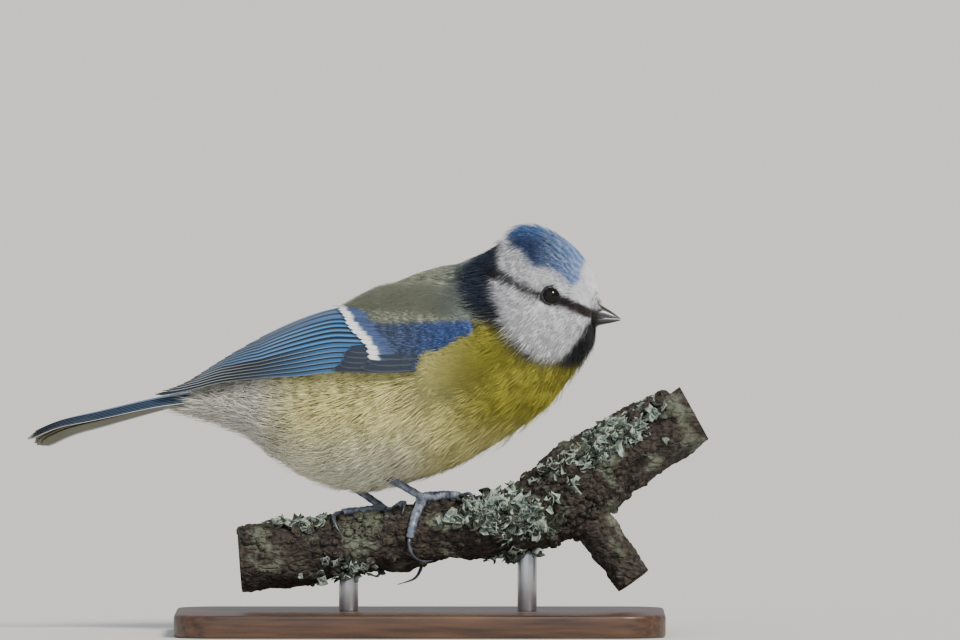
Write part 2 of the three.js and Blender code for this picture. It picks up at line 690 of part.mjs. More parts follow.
function toes(foot, grow = 0) {
  return Object.values(foot.toes).map(({ pad }) => {
    const points = [barkPoint(...foot.joint), ...overBark(pad, 7, () => TOE.lift)];
    return scutedBar(points, TOE.root + grow, TOE.tip + grow, TOE);
  });
}

function claw(places) {
  const line = places
    ? overBark(places, CLAW.rings, (q) => through(CLAW.lifts, q * (CLAW.lifts.length - 1)))
    : curve(HANGING_CLAW.map((p) => vec(...p)), CLAW.rings);
  const radii = line.map((_, i) => lerp(CLAW.root, CLAW.tip, (i / (CLAW.rings - 1)) ** 1.2));
  return tube(line, radii, CLAW.sides);
}

// Shank and thigh down to just above the foot, and clear of the toes that run back under it
function legSolid(foot) {
  const [thigh, ankle, joint] = [vec(...foot.thigh), vec(...foot.ankle), barkPoint(...foot.joint)];
  const shank = scutedBar([ankle, ankle.clone().lerp(joint, 0.5), joint], TARSUS.top, TARSUS.foot, TARSUS);
  const upper = tube([thigh, thigh.clone().lerp(ankle, 0.97)], [TARSUS.thigh, TARSUS.top], TARSUS.sides);
  const normal = ankle.clone().sub(joint).normalize();
  const foothold = normal.dot(joint) + ANKLE.radius + GAP;
  return join([shank, upper]).trimByPlane(normal.toArray(), foothold).subtract(join(toes(foot, GAP)));
}

function footSolid(foot) {
  return join([ball(barkPoint(...foot.joint), ANKLE.radius, ANKLE.detail), ...toes(foot)]);
}

// Stand

function baseSolid() {
  const { length, width, height, corner, bevel } = BASE;
  const [x, y] = [length / 2 - bevel, width / 2 - bevel];
  const outline = new THREE.Shape();
  outline.moveTo(-x + corner, -y);
  outline.lineTo(x - corner, -y);
  outline.absarc(x - corner, -y + corner, corner, -Math.PI / 2, 0);
  outline.absarc(x - corner, y - corner, corner, 0, Math.PI / 2);
  outline.absarc(-x + corner, y - corner, corner, Math.PI / 2, Math.PI);
  outline.absarc(-x + corner, -y + corner, corner, Math.PI, 1.5 * Math.PI);
  const geometry = new THREE.ExtrudeGeometry(outline, {
    depth: height - 2 * bevel,
    bevelThickness: bevel,
    bevelSize: bevel,
    bevelSegments: 1,
    curveSegments: 5,
  });
  geometry.translate(0, 0, bevel);
  return solidOfGeometry(geometry);
}

function rodSolid(x) {
  const foot = BASE.height + GAP;
  const top = through(BRANCH.map((p) => p[2]), through(BRANCH.map((_, i) => i), (x - BRANCH[0][0]) / 7.85));
  const geometry = new THREE.CylinderGeometry(ROD.radius, ROD.radius, top - foot, ROD.sides);
  geometry.rotateX(Math.PI / 2);
  geometry.translate(x, 0, (foot + top) / 2);
  return solidOfGeometry(geometry);
}

// Assembly

const flesh = bodySolid();
const fleshGrown = bodySolid(GAP);
const bark = join([branchSolid(), shootSolid()]);
const barkGrown = join([branchSolid(GAP), shootSolid(GAP)]);

const seats = { right: eyeSeat(-1), left: eyeSeat(1) };
const eyeball = (seat, grow = 0) => ball(seat.centre, EYE.radius + grow, EYE.detail);
let headFlesh = neckSide(flesh, NECK_CUTS[1], true);
for (const seat of Object.values(seats)) {
  headFlesh = headFlesh.add(lidRing(seat)).subtract(eyeball(seat, GAP));
}
const neckFlesh = neckSide(neckSide(flesh, NECK_CUTS[0], true), NECK_CUTS[1], false);
const torsoFlesh = neckSide(flesh, NECK_CUTS[0], false);
const faceGrown = fleshGrown.add(flesh.translate([GAP, 0, 0]));
const billUpper = billHalf(true).subtract(faceGrown).subtract(nostril(-1)).subtract(nostril(1));
const billLower = billHalf(false).subtract(faceGrown);

// The legs stand on the branch, so they are shaped in the stand's frame and turned back into the bird's
const toBird = (solid) => solid.translate([-BIRD_X, 0, 0]).rotate([0, 0, -BIRD_YAW]);
const legs = [];
for (const [name, foot] of Object.entries(FEET)) {
  legs.push(meshOf(`leg_${name}`, largest(toBird(legSolid(foot)).subtract(fleshGrown)), "leg"));
  legs.push(meshOf(`foot_${name}`, largest(toBird(footSolid(foot).subtract(barkGrown))), "leg"));
  for (const [digit, { claw: places }] of Object.entries(foot.toes)) {
    legs.push(meshOf(`claw_${name}_${digit}`, toBird(claw(places).subtract(barkGrown)), "claw"));
  }
}

const bird = new THREE.Group();
bird.position.set(BIRD_X, 0, 0);
bird.rotation.z = radians(BIRD_YAW);
bird.add(
  meshOf("torso", torsoFlesh, "coat"),
  meshOf("neck", neckFlesh, "collar"),
  meshOf("head", headFlesh, "head"),
  meshOf("bill_upper", billUpper, "bill"),
  meshOf("bill_lower", billLower, "bill"),
  meshOf("eye_right", eyeball(seats.right), "eye"),
  meshOf("eye_left", eyeball(seats.left), "eye"),
  meshOf("wing_right", wing(-1, fleshGrown), "wing"),
  meshOf("wing_left", wing(1, fleshGrown), "wing"),
  meshOf("tail", tailSolid(fleshGrown), "tail"),
  ...legs,
);

const stand = new THREE.Group();
stand.add(meshOf("stand_base", baseSolid(), "stand"), meshOf("perch_branch", bark, "bark"));
for (const [i, x] of ROD.places.entries()) {
  stand.add(meshOf(`stand_rod_${i + 1}`, rodSolid(x).subtract(barkGrown), "rod"));
}

const model = new THREE.Group();
model.add(bird, stand);
export default model;
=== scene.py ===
# A blue tit gripping a cut length of lichened branch, on a plain stand, as a museum's life-size model.
import math
from functools import partial

import bmesh
import bpy
import numpy as np
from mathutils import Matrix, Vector, noise


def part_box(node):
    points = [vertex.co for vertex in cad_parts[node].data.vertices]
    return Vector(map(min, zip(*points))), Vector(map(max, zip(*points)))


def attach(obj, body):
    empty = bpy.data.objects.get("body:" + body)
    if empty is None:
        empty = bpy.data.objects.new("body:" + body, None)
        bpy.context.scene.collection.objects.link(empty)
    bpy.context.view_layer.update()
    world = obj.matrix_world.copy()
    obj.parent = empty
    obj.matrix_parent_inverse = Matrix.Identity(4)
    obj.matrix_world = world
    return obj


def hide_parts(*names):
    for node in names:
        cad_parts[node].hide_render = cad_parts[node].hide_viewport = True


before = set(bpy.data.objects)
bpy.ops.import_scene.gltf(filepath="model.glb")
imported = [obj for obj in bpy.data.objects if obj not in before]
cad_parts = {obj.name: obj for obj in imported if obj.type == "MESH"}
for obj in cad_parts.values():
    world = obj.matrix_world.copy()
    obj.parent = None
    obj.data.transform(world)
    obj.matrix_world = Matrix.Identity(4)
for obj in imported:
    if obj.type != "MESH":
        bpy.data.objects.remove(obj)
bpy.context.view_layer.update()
bpy.ops.object.select_all(action="DESELECT")
random = np.random.default_rng(11)
MM = 0.001

# The bird's own frame: x towards the bill, z up, y to its left. It is turned and set on the stand.
BIRD_YAW = math.radians(-10)
BIRD_X = -1.6

# Planes across the bird, tail root first: back x, z, keel x, z, half width, height of the widest place
BODY = np.array([
    [-39.4, 49.0, -41.0, 43.1, 4.5, 0.50],
    [-35.9, 51.0, -36.7, 41.8, 6.3, 0.50],
    [-31.9, 53.1, -31.9, 39.4, 9.0, 0.50],
    [-27.1, 55.7, -26.9, 35.3, 12.0, 0.50],
    [-21.9, 58.6, -21.5, 31.4, 14.6, 0.50],
    [-15.9, 62.2, -15.1, 29.2, 16.6, 0.50],
    [-9.2, 65.9, -8.8, 28.6, 17.8, 0.49],
    [-2.4, 69.3, -0.8, 30.4, 18.2, 0.48],
    [3.6, 71.6, 7.6, 33.1, 17.8, 0.47],
    [8.6, 72.6, 15.5, 36.9, 16.8, 0.46],
    [12.5, 74.1, 22.3, 41.4, 15.3, 0.46],
    [15.5, 75.3, 27.3, 45.5, 13.8, 0.46],
    [18.1, 76.9, 30.5, 49.6, 12.7, 0.46],
    [20.3, 79.0, 32.9, 53.1, 12.0, 0.46],
    [23.1, 79.8, 34.7, 55.9, 11.1, 0.46],
    [27.1, 79.1, 35.7, 58.0, 10.0, 0.45],
    [30.9, 77.0, 36.1, 59.6, 8.5, 0.44],
    [33.9, 73.9, 36.2, 60.2, 6.9, 0.43],
    [35.9, 70.4, 36.1, 60.6, 5.2, 0.42],
    [36.9, 67.3, 35.9, 60.9, 3.7, 0.42],
])
LAST = len(BODY) - 1
FACE = 13.0  # station where the head starts
TAIL_END, TAIL_TAPER = -1.9, 5.5  # last station of the coat over the tail's root, and mm to a station there

# Folded wing: top edge x, z, low edge x, z, least half widths there; shoulder first
WING = np.array([
    [15.0, 61.0, 16.2, 58.4, 0, 0],
    [11.4, 62.2, 13.1, 55.7, 0, 0],
    [6.5, 62.4, 6.7, 52.5, 0, 0],
    [-0.5, 62.6, -0.3, 51.6, 0, 0],
    [-8.6, 62.6, -7.3, 51.6, 10.5, 0],
    [-14.1, 62.3, -12.4, 51.6, 7.0, 0],
    [-21.6, 60.0, -19.8, 50.8, 4.4, 0],
    [-29.7, 56.3, -28.6, 50.2, 3.4, 9.8],
    [-37.7, 52.2, -37.0, 49.2, 2.9, 6.8],
    [-44.7, 48.8, -43.8, 47.6, 2.8, 5.0],
    [-51.3, 46.9, -51.2, 46.1, 2.8, 3.6],
])
WING_CLEAR = 1.0
WING_RISE, WING_RAMP = 3.9, 6.0  # of the coat over the wing's edge, and the width of the slope up to it
WING_LIP = 2.2  # how far outside the wing's outline the slope ends
WING_MIDDLE = 58.0  # height where neither the mantle nor the breast covers the wing
PILE_TOP, PILE_LOW = 1.55, 0.1  # lift of the folded feathers at the wing's top edge and low edge

# Folded tail: its ridge x, z, root first; each feather's step down, slope to the sides, twist at the tip
TAIL_RIDGE = np.array([
    [-37.5, 48.6], [-44.5, 47.2], [-51.2, 46.1], [-62.2, 43.5], [-70.1, 41.6], [-76.6, 38.8],
])
TAIL_DROP, TAIL_LEAN, TAIL_ROLL = 0.26, 0.2, math.radians(11)
TAIL_TIPS = [0.955, 0.97, 0.985, 1.0, 0.995, 0.975]  # shares of the ridge, middle pair first

# Eye: its place on the face, its ball's radius and its centre's depth under the face, how far its lids reach,
# and how far from it the first feathers start
EYE = {"x": 29.8, "z": 66.7, "radius": 2.0295, "depth": 1.4, "lids": 1.86, "clear": 2.5}
# Place round the bill's root where no feather starts: from x on, y to both sides, between two heights
BILL_BARE = {"x": 35.9, "y": 1.7, "low": 61.0, "high": 65.0}

# Branch: x, y, z, radius, in the stand's frame
BRANCH = np.array([
    [-35.3, -0.6, 14.3, 6.0], [-27.5, -0.3, 14.9, 6.2], [-19.6, 0.0, 16.1, 6.0], [-11.8, 0.0, 17.5, 5.8],
    [-3.9, 0.0, 18.4, 5.9], [3.9, 0.0, 20.2, 6.0], [11.8, 0.0, 21.2, 6.3], [19.6, 0.2, 22.2, 6.9],
    [25.5, 0.6, 24.7, 7.3], [31.4, 1.0, 28.6, 7.5], [37.3, 1.3, 33.1, 7.2], [43.1, 1.6, 37.1, 6.7],
    [49.0, 1.9, 40.4, 6.3], [53.9, 2.1, 43.1, 6.0],
])
SHOOT = np.array([
    [28.5, 0.6, 28.0, 4.6], [32.0, 0.2, 23.6, 4.3], [35.6, -0.2, 19.4, 4.0], [39.2, -0.6, 14.5, 3.8],
    [42.0, -1.0, 10.6, 3.7],
])

# Camera: it stands level with the bird, a long way off, on its right side
CAMERA = {
    "target": (11.76, 0.0, 61.57), "distance": 4000.0, "elevation": 1.0, "view_width": 188.2, "sensor": 36.0,
}


# Curves, frames and meshes

def lerp(a, b, t):
    return a + (b - a) * t


def ease(t):
    t = np.clip(t, 0, 1)
    return t * t * (3 - 2 * t)


def read(table, station):
    """Rows of a table read at any station, by a smooth curve through them."""
    table = np.asarray(table, float)
    last = len(table) - 1
    station = np.clip(np.asarray(station, float), 0, last)
    i = np.minimum(np.floor(station).astype(int), last - 1)
    t = (station - i)[..., None] if table.ndim > 1 else station - i
    padded = np.concatenate([[2 * table[0] - table[1]], table, [2 * table[-1] - table[-2]]])
    p0, p1, p2, p3 = (padded[i + k] for k in range(4))
    bend = 2 * p0 - 5 * p1 + 4 * p2 - p3
    return 0.5 * (2 * p1 + (p2 - p0) * t + bend * t**2 + (3 * p1 - p0 - 3 * p2 + p3) * t**3)


def unit(v):
    return v / np.maximum(np.linalg.norm(v, axis=-1, keepdims=True), 1e-9)


def stack(*parts):
    return np.stack(np.broadcast_arrays(*parts), axis=-1)


def to_stand(points):
    """From the bird's frame in millimetres to the stand's frame in metres."""
    c, s = math.cos(BIRD_YAW), math.sin(BIRD_YAW)
    x, y, z = points[..., 0], points[..., 1], points[..., 2]
    return stack(BIRD_X + c * x - s * y, s * x + c * y, z) * MM


def linear(hex_colour):
    """sRGB hex to linear RGB."""
    srgb = np.array([int(hex_colour[i:i + 2], 16) for i in (1, 3, 5)]) / 255
    return np.where(srgb <= 0.04045, srgb / 12.92, ((srgb + 0.055) / 1.055) ** 2.4)


def piece(name, points, faces, material, colours, uvs):
    """A mesh object from arrays: points in metres, faces of one size, colours by point or None, uvs by
    corner."""
    faces = np.asarray(faces, np.int32)
    sides = faces.shape[1]
    mesh = bpy.data.meshes.new(name)
    mesh.vertices.add(len(points))
    mesh.vertices.foreach_set("co", np.asarray(points, np.float32).ravel())
    mesh.loops.add(faces.size)
    mesh.loops.foreach_set("vertex_index", faces.ravel())
    mesh.polygons.add(len(faces))
    mesh.polygons.foreach_set("loop_start", np.arange(0, faces.size, sides, dtype=np.int32))
    mesh.polygons.foreach_set("use_smooth", np.full(len(faces), True))
    if colours is not None:
        layer = mesh.attributes.new("plumage", "FLOAT_COLOR", "POINT")
        opaque = np.column_stack([colours, np.ones(len(colours))])
        layer.data.foreach_set("color", opaque.astype(np.float32).ravel())
    mesh.uv_layers.new(name="OFBake").data.foreach_set("uv", np.asarray(uvs, np.float32).ravel())
    mesh.update(calc_edges=True)
    mesh.validate()
    obj = bpy.data.objects.new(name, mesh)
    bpy.context.scene.collection.objects.link(obj)
    mesh.materials.append(material)
    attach(obj, "root")
    return obj


def ring_faces(rings, sides):
    """Quads between closed rings of points, with uvs running along and round."""
    i, j = np.meshgrid(np.arange(rings - 1), np.arange(sides), indexing="ij")
    k = (j + 1) % sides
    faces = stack(i * sides + j, i * sides + k, (i + 1) * sides + k, (i + 1) * sides + j).reshape(-1, 4)
    u0, u1, v0, v1 = i / (rings - 1), (i + 1) / (rings - 1), j / sides, (j + 1) / sides
    uvs = np.stack([stack(u0, v0), stack(u0, v1), stack(u1, v1), stack(u1, v0)], axis=-2).reshape(-1, 2)
    return faces, uvs


CAP_SHARE = 0.02  # of the width left open at a drawn-in end, which one face then closes


def lathe(name, rings, material, colours=None):
    """A closed body from rings of points, shape (rings, sides, 3) in metres, each end shrunk to a point."""
    caps = []
    for ring in (rings[:1], rings[-1:]):
        middle = ring.mean(axis=1, keepdims=True)
        caps.append(middle + (ring - middle) * CAP_SHARE)
    rings = np.concatenate([caps[0], rings, caps[1]])
    if colours is not None:
        colours = np.concatenate([colours[:1], colours, colours[-1:]]).reshape(-1, 3)
    count, sides = rings.shape[:2]
    faces, uvs = ring_faces(count, sides)
    obj = piece(name, rings.reshape(-1, 3), faces, material, colours, uvs * 0.96 + 0.02)
    close_ends(obj)
    return obj


def close_ends(obj):
    """Fills the two small openings of a body of rings and turns its faces outwards."""
    mesh = bmesh.new()
    mesh.from_mesh(obj.data)
    layer = mesh.loops.layers.uv.get("OFBake")
    open_edges = [e for e in mesh.edges if e.is_boundary]
    filled = bmesh.ops.holes_fill(mesh, edges=open_edges)["faces"]
    for face in filled:
        for index, loop in enumerate(face.loops):
            angle = 2 * math.pi * index / len(face.loops)
            loop[layer].uv = (0.005 + 0.004 * math.cos(angle), 0.005 + 0.004 * math.sin(angle))
    bmesh.ops.recalc_face_normals(mesh, faces=mesh.faces)
    mesh.to_mesh(obj.data)
    mesh.free()


def bar(points, radii, sides, flat=1.0):
    """Rings of a round bar along points, carried along without twist. flat squashes it."""
    points = np.asarray(points, float)
    along = unit(np.gradient(points, axis=0))
    across = np.array([0.31, 0.93, 0.2])
    rings = []
    angles = np.arange(sides) * 2 * np.pi / sides
    for p, a, r in zip(points, along, np.broadcast_to(radii, len(points))):
        across = unit(across - a * (across @ a))
        other = np.cross(a, across)
        rings.append(p + r * (np.outer(np.cos(angles), across) + flat * np.outer(np.sin(angles), other)))
    return np.array(rings)


# Finishes

def node(tree, kind, inputs=None, stops=(), **settings):
    """Adds a node with its settings. inputs are values, or sockets to link from. stops are the places and
    colours of a ramp."""
    new = tree.nodes.new(kind)
    for key, value in settings.items():
        setattr(new, key, value)
    for key, value in (inputs or {}).items():
        if isinstance(value, bpy.types.NodeSocket):
            tree.links.new(value, new.inputs[key])
        else:
            new.inputs[key].default_value = value
    for index, (place, colour) in enumerate(stops):
        new.color_ramp.elements[index].position = place
        new.color_ramp.elements[index].color = rgba(colour)
    return new


def finish(name, **values):
    """A material with its shader's constant values set. Gives the material, its tree and its shader."""
    material = bpy.data.materials.new(name)
    material.use_nodes = True
    tree = material.node_tree
    shader = tree.nodes["Principled BSDF"]
    for key, value in values.items():
        shader.inputs[key.replace("_", " ").title().replace("Ior", "IOR")].default_value = value
    return material, tree, shader


def connect(tree, shader, colour, bump=None):
    tree.links.new(colour.outputs["Color"], shader.inputs["Base Color"])
    if bump:
        tree.links.new(bump.outputs["Normal"], shader.inputs["Normal"])


def rgba(hex_colour):
    return (*linear(hex_colour), 1.0)


def grains_of(*sizes):
    """Scale of a pattern whose grains have a real size in millimetres, or one along each axis."""
    scales = [1 / (size * MM) for size in sizes]
    return scales if len(scales) > 1 else scales[0]


def plumage_finish(name, roughness, sheen):
    """Feather keratin coloured by the bird's markings: matt, with the soft edge light of fine barbs."""
    material, tree, shader = finish(name, roughness=roughness, sheen_weight=sheen, sheen_roughness=0.5)
    markings = node(tree, "ShaderNodeAttribute", attribute_name="plumage")
    connect(tree, shader, markings)
    return material


def horn_finish():
    """Bill horn: smooth, dark slate, paler and worn along the cutting edges."""
    material, tree, shader = finish("polished_bill_horn", roughness=0.32, coat_weight=0.25)
    markings = node(tree, "ShaderNodeAttribute", attribute_name="plumage")
    place = node(tree, "ShaderNodeTexCoord").outputs["Object"]
    grain = node(tree, "ShaderNodeTexNoise", {"Vector": place, "Scale": grains_of(1.111), "Detail": 4.0})
    grain = grain.outputs["Fac"]
    bump = node(tree, "ShaderNodeBump", {"Height": grain, "Strength": 0.12, "Distance": 0.2 * MM})
    connect(tree, shader, markings, bump)
    return material


def eye_finish():
    """Wet eye: near-black brown under a clear, glossy cornea."""
    material, tree, shader = finish("wet_dark_eye", roughness=0.03, ior=1.34)
    place = node(tree, "ShaderNodeTexCoord").outputs["Object"]
    cells = node(tree, "ShaderNodeTexNoise", {"Vector": place, "Scale": grains_of(0.667)})
    depths = ((0, "#050302"), (1, "#120a07"))
    colour = node(tree, "ShaderNodeValToRGB", {"Fac": cells.outputs["Fac"]}, depths)
    connect(tree, shader, colour)
    return material


def grained_finish(name, size, low, high, strength, depth, **values):
    """Two colours and a bump from one grain of a size in millimetres. low and high are where on the grain
    each colour is reached, and the colour. depth is the bump's, in millimetres."""
    material, tree, shader = finish(name, **values)
    place = node(tree, "ShaderNodeTexCoord").outputs["Object"]
    grain = node(tree, "ShaderNodeTexNoise", {"Vector": place, "Scale": grains_of(size), "Detail": 5.0})
    grain = grain.outputs["Fac"]
    colour = node(tree, "ShaderNodeValToRGB", {"Fac": grain}, (low, high))
    bump = node(tree, "ShaderNodeBump", {"Height": grain, "Strength": strength, "Distance": depth * MM})
    connect(tree, shader, colour, bump)
    return material


def bark_finish():
    """Old fruit-tree bark: dark grey-brown, cracked along its length into small plates, and dusted green and
    grey by algae."""
    material, tree, shader = finish("weathered_bark", roughness=0.94)
    place = node(tree, "ShaderNodeTexCoord").outputs["Object"]
    drawn_out = node(tree, "ShaderNodeMapping", {"Vector": place, "Scale": grains_of(3.03, 1.316, 1.429)})
    warp = node(tree, "ShaderNodeTexNoise", {"Vector": place, "Scale": grains_of(3.333), "Detail": 3.0})
    bent = node(tree, "ShaderNodeVectorMath", {0: drawn_out.outputs["Vector"], 1: warp.outputs["Color"]},
                operation="ADD")
    plates = node(tree, "ShaderNodeTexVoronoi", {"Vector": bent.outputs["Vector"], "Scale": 1.0},
                  feature="DISTANCE_TO_EDGE")
    crumbs = node(tree, "ShaderNodeTexNoise", {"Vector": place, "Scale": grains_of(0.909), "Detail": 7.0})
    crumbs = crumbs.outputs["Fac"]
    dust = node(tree, "ShaderNodeTexNoise", {"Vector": place, "Scale": grains_of(6.667), "Detail": 6.0})
    wood = node(tree, "ShaderNodeValToRGB", {"Fac": crumbs}, ((0.34, "#100e0b"), (0.74, "#4e453d")))
    green = node(tree, "ShaderNodeValToRGB", {"Fac": crumbs}, ((0, "#2b3026"), (1, "#7b8070")))
    where = node(tree, "ShaderNodeMapRange", {"Value": dust.outputs["Fac"], "From Min": 0.54,
                                              "From Max": 0.63})
    cover = node(tree, "ShaderNodeMix", {"Factor": where.outputs["Result"], "A": wood.outputs["Color"],
                                         "B": green.outputs["Color"]}, data_type="RGBA")
    cracks = node(tree, "ShaderNodeMapRange", {"Value": plates.outputs["Distance"], "From Min": 0.0,
                                               "From Max": 0.16, "To Max": 0.6})
    height = node(tree, "ShaderNodeMath", {0: cracks.outputs["Result"], 1: crumbs}, operation="ADD")
    bump = node(tree, "ShaderNodeBump", {"Height": height.outputs["Value"], "Strength": 0.9,
                                         "Distance": 0.6 * MM})
    tree.links.new(cover.outputs["Result"], shader.inputs["Base Color"])
    tree.links.new(bump.outputs["Normal"], shader.inputs["Normal"])
    return material


def stained_wood_finish():
    """Stained beech, sanded and waxed: a satin brown with long fine grain."""
    material, tree, shader = finish("stained_beech", roughness=0.42, coat_weight=0.15, coat_roughness=0.3)
    place = node(tree, "ShaderNodeTexCoord").outputs["Object"]
    drawn_out = node(tree, "ShaderNodeMapping", {"Vector": place, "Scale": grains_of(16.67, 1.111, 1.111)})
    drawn_out = drawn_out.outputs["Vector"]
    grain = node(tree, "ShaderNodeTexNoise", {"Vector": drawn_out, "Scale": 1.0, "Detail": 6.0})
    grain = grain.outputs["Fac"]
    colour = node(tree, "ShaderNodeValToRGB", {"Fac": grain}, ((0.3, "#2a1a11"), (0.7, "#5a3d28")))
    bump = node(tree, "ShaderNodeBump", {"Height": grain, "Strength": 0.12, "Distance": 0.2 * MM})
    connect(tree, shader, colour, bump)
    return material


def sawn_wood_finish():
    """Sawn end of the branch: pale, with year rings read from the cut's own rings."""
    material, tree, shader = finish("sawn_branch_wood", roughness=0.8)
    rings = node(tree, "ShaderNodeAttribute", attribute_name="plumage")
    place = node(tree, "ShaderNodeTexCoord").outputs["Object"]
    fibres = node(tree, "ShaderNodeTexNoise", {"Vector": place, "Scale": grains_of(0.667), "Detail": 4.0})
    fibres = fibres.outputs["Fac"]
    bump = node(tree, "ShaderNodeBump", {"Height": fibres, "Strength": 0.3, "Distance": 0.2 * MM})
    connect(tree, shader, rings, bump)
    return material


def brushed_steel_finish():
    """Stainless rod, brushed round: a soft, slightly streaked metal."""
    material, tree, shader = finish("brushed_stainless", metallic=1.0, base_color=rgba("#b9bbbe"))
    place = node(tree, "ShaderNodeTexCoord").outputs["Object"]
    lines = node(tree, "ShaderNodeMapping", {"Vector": place, "Scale": grains_of(5.0, 5.0, 0.1667)})
    lines = lines.outputs["Vector"]
    brush = node(tree, "ShaderNodeTexNoise", {"Vector": lines, "Scale": 1.0, "Detail": 2.0})
    rough = node(tree, "ShaderNodeMapRange", {"Value": brush.outputs["Fac"], "To Min": 0.25, "To Max": 0.45})
    tree.links.new(rough.outputs["Result"], shader.inputs["Roughness"])
    return material


PLUMAGE = plumage_finish("downy_feather_coat", 0.75, 0.06)
VANES = plumage_finish("smooth_flight_vanes", 0.42, 0.04)
HORN = horn_finish()
EYE_WET = eye_finish()
# Horny plates of the legs and claws: blue-grey, lightly polished, darker in the joints
SCUTES = grained_finish("blue_grey_scutes", 1.429, (0.35, "#3a4153"), (0.65, "#8d97a8"), 0.3, 0.2,
                        roughness=0.4, coat_weight=0.2, coat_roughness=0.3)
CLAW_HORN = grained_finish("dark_claw_horn", 1.429, (0.35, "#23252e"), (0.65, "#565b68"), 0.3, 0.2,
                           roughness=0.3, coat_weight=0.2, coat_roughness=0.3)
BARK = bark_finish()
# Leafy lichen: chalky grey-green lobes with a fine grain, and old crusty ones that are nearly black
LICHEN = grained_finish("grey_green_lichen", 1.25, (0.36, "#4f5d57"), (0.6, "#a3b2a6"), 0.5, 0.3,
                        roughness=0.95)
LICHEN_DARK = grained_finish("dark_crusty_lichen", 1.25, (0.36, "#171916"), (0.6, "#4a4f46"), 0.5, 0.3,
                             roughness=0.95)
STAINED_WOOD = stained_wood_finish()
SAWN_WOOD = sawn_wood_finish()
STEEL = brushed_steel_finish()


# The body's form

def body_point(u, angle, grow=0.0):
    """Skin of the bird: angle 0 is its left side, 90 degrees its back. grow moves it out. Stations under 0
    draw in round the tail's root."""
    row = read(BODY, np.maximum(u, 0))
    past = np.minimum(u, 0)
    back, keel, half, widest = row[..., 0:2], row[..., 2:4], row[..., 4], row[..., 5]
    chord = back - keel
    height = np.linalg.norm(chord, axis=-1)
    up = chord / height[..., None]
    sine = np.sin(angle)
    narrow = np.clip(1 + 0.42 * past, 0.2, 1)
    reach = np.where(sine > 0, (1 - widest) * height, widest * height) * narrow + grow
    middle = keel + chord * lerp(0.86, widest, narrow)[..., None] + up * (reach * sine)[..., None]
    across = (half * narrow + grow) * np.cos(angle)
    return stack(middle[..., 0] + past * TAIL_TAPER, across, middle[..., 1] + past * TAIL_TAPER * 0.2)


def body_side(x, z):
    """Half width of the body where a line across it passes x, z, and the place's station and angle."""
    low, high = np.zeros(np.shape(x)), np.full(np.shape(x), float(LAST))

    def side(u):
        row = read(BODY, u)
        chord = row[..., 0:2] - row[..., 2:4]
        return chord[..., 0] * (z - row[..., 3]) - chord[..., 1] * (x - row[..., 2])

    out = (side(low) > 0) | (side(high) < 0)
    for _ in range(30):
        middle = (low + high) / 2
        before = side(middle) < 0
        low, high = np.where(before, middle, low), np.where(before, high, middle)
    row = read(BODY, low)
    height = np.hypot(row[..., 0] - row[..., 2], row[..., 1] - row[..., 3])
    rise = np.hypot(x - row[..., 2], z - row[..., 3]) * np.sign(z - row[..., 3]) - row[..., 5] * height
    sine = rise / np.where(rise > 0, (1 - row[..., 5]) * height, row[..., 5] * height)
    half = row[..., 4] * np.sqrt(np.clip(1 - sine**2, 0, 1))
    return np.where(out, 0, half), low, np.arcsin(np.clip(sine, -1, 1))


def body_frame(u, angle):
    """A point of the body and its outward normal, with mm per station and per radian there."""
    step = 0.05
    point = body_point(u, angle)
    along = body_point(u + step, angle) - body_point(u - step, angle)
    span = np.where(u > LAST - step, step, 2 * step)
    around = (body_point(u, angle + step) - body_point(u, angle - step)) / (2 * step)
    normal = unit(np.cross(around, along))
    inwards = np.sum(normal * (point - body_point(u, angle, -1)), axis=-1) < 0
    normal = np.where(inwards[..., None], -normal, normal)
    return point, normal, np.linalg.norm(along, axis=-1) / span, np.linalg.norm(around, axis=-1)


# Markings, drawn on the right side's view as x and z on the stand in millimetres. The left side mirrors them.
HEAD_PATCH = [(14.0, 78.0), (10.7, 74.4), (7.5, 71.7), (7.0, 69.4), (7.7, 65.8), (9.7, 63.0), (11.8, 61.6),
              (13.2, 60.7), (15.2, 59.3), (17.5, 56.1), (20.3, 53.9), (24.8, 52.7), (29.4, 52.5),
              (32.2, 53.9), (39.0, 57.0), (39.0, 86.0), (15.7, 86.0)]
CHEEK = [(13.4, 70.1), (14.1, 68.0), (15.2, 64.8), (16.1, 61.6), (18.0, 58.4), (20.3, 56.1), (22.5, 54.5),
         (24.8, 53.6), (26.9, 53.6), (28.5, 55.2), (29.9, 56.8), (31.2, 58.4), (32.2, 60.3), (33.1, 61.2),
         (33.5, 61.9), (31.2, 63.0), (29.4, 63.7), (27.6, 64.4), (25.8, 64.6), (23.9, 65.1), (22.1, 66.2),
         (20.3, 67.1), (18.0, 68.3), (15.7, 69.4)]
BROW = [(15.9, 77.8), (15.1, 74.0), (15.5, 72.2), (17.1, 70.6), (20.3, 68.7), (22.5, 67.8), (24.4, 67.4),
        (27.1, 66.7), (30.4, 65.1), (35.3, 63.1), (38.5, 67.5), (38.0, 72.9), (33.0, 81.5), (23.5, 86.0),
        (16.0, 84.0)]
CROWN = [(17.3, 77.0), (18.4, 75.9), (19.6, 75.6), (20.3, 74.4), (22.3, 72.4), (24.8, 72.2), (26.9, 71.2),
         (28.5, 69.6), (29.6, 68.5), (31.2, 69.4), (31.4, 71.5), (32.4, 73.3), (33.0, 78.0), (27.0, 84.5),
         (19.0, 84.5), (16.6, 79.0)]
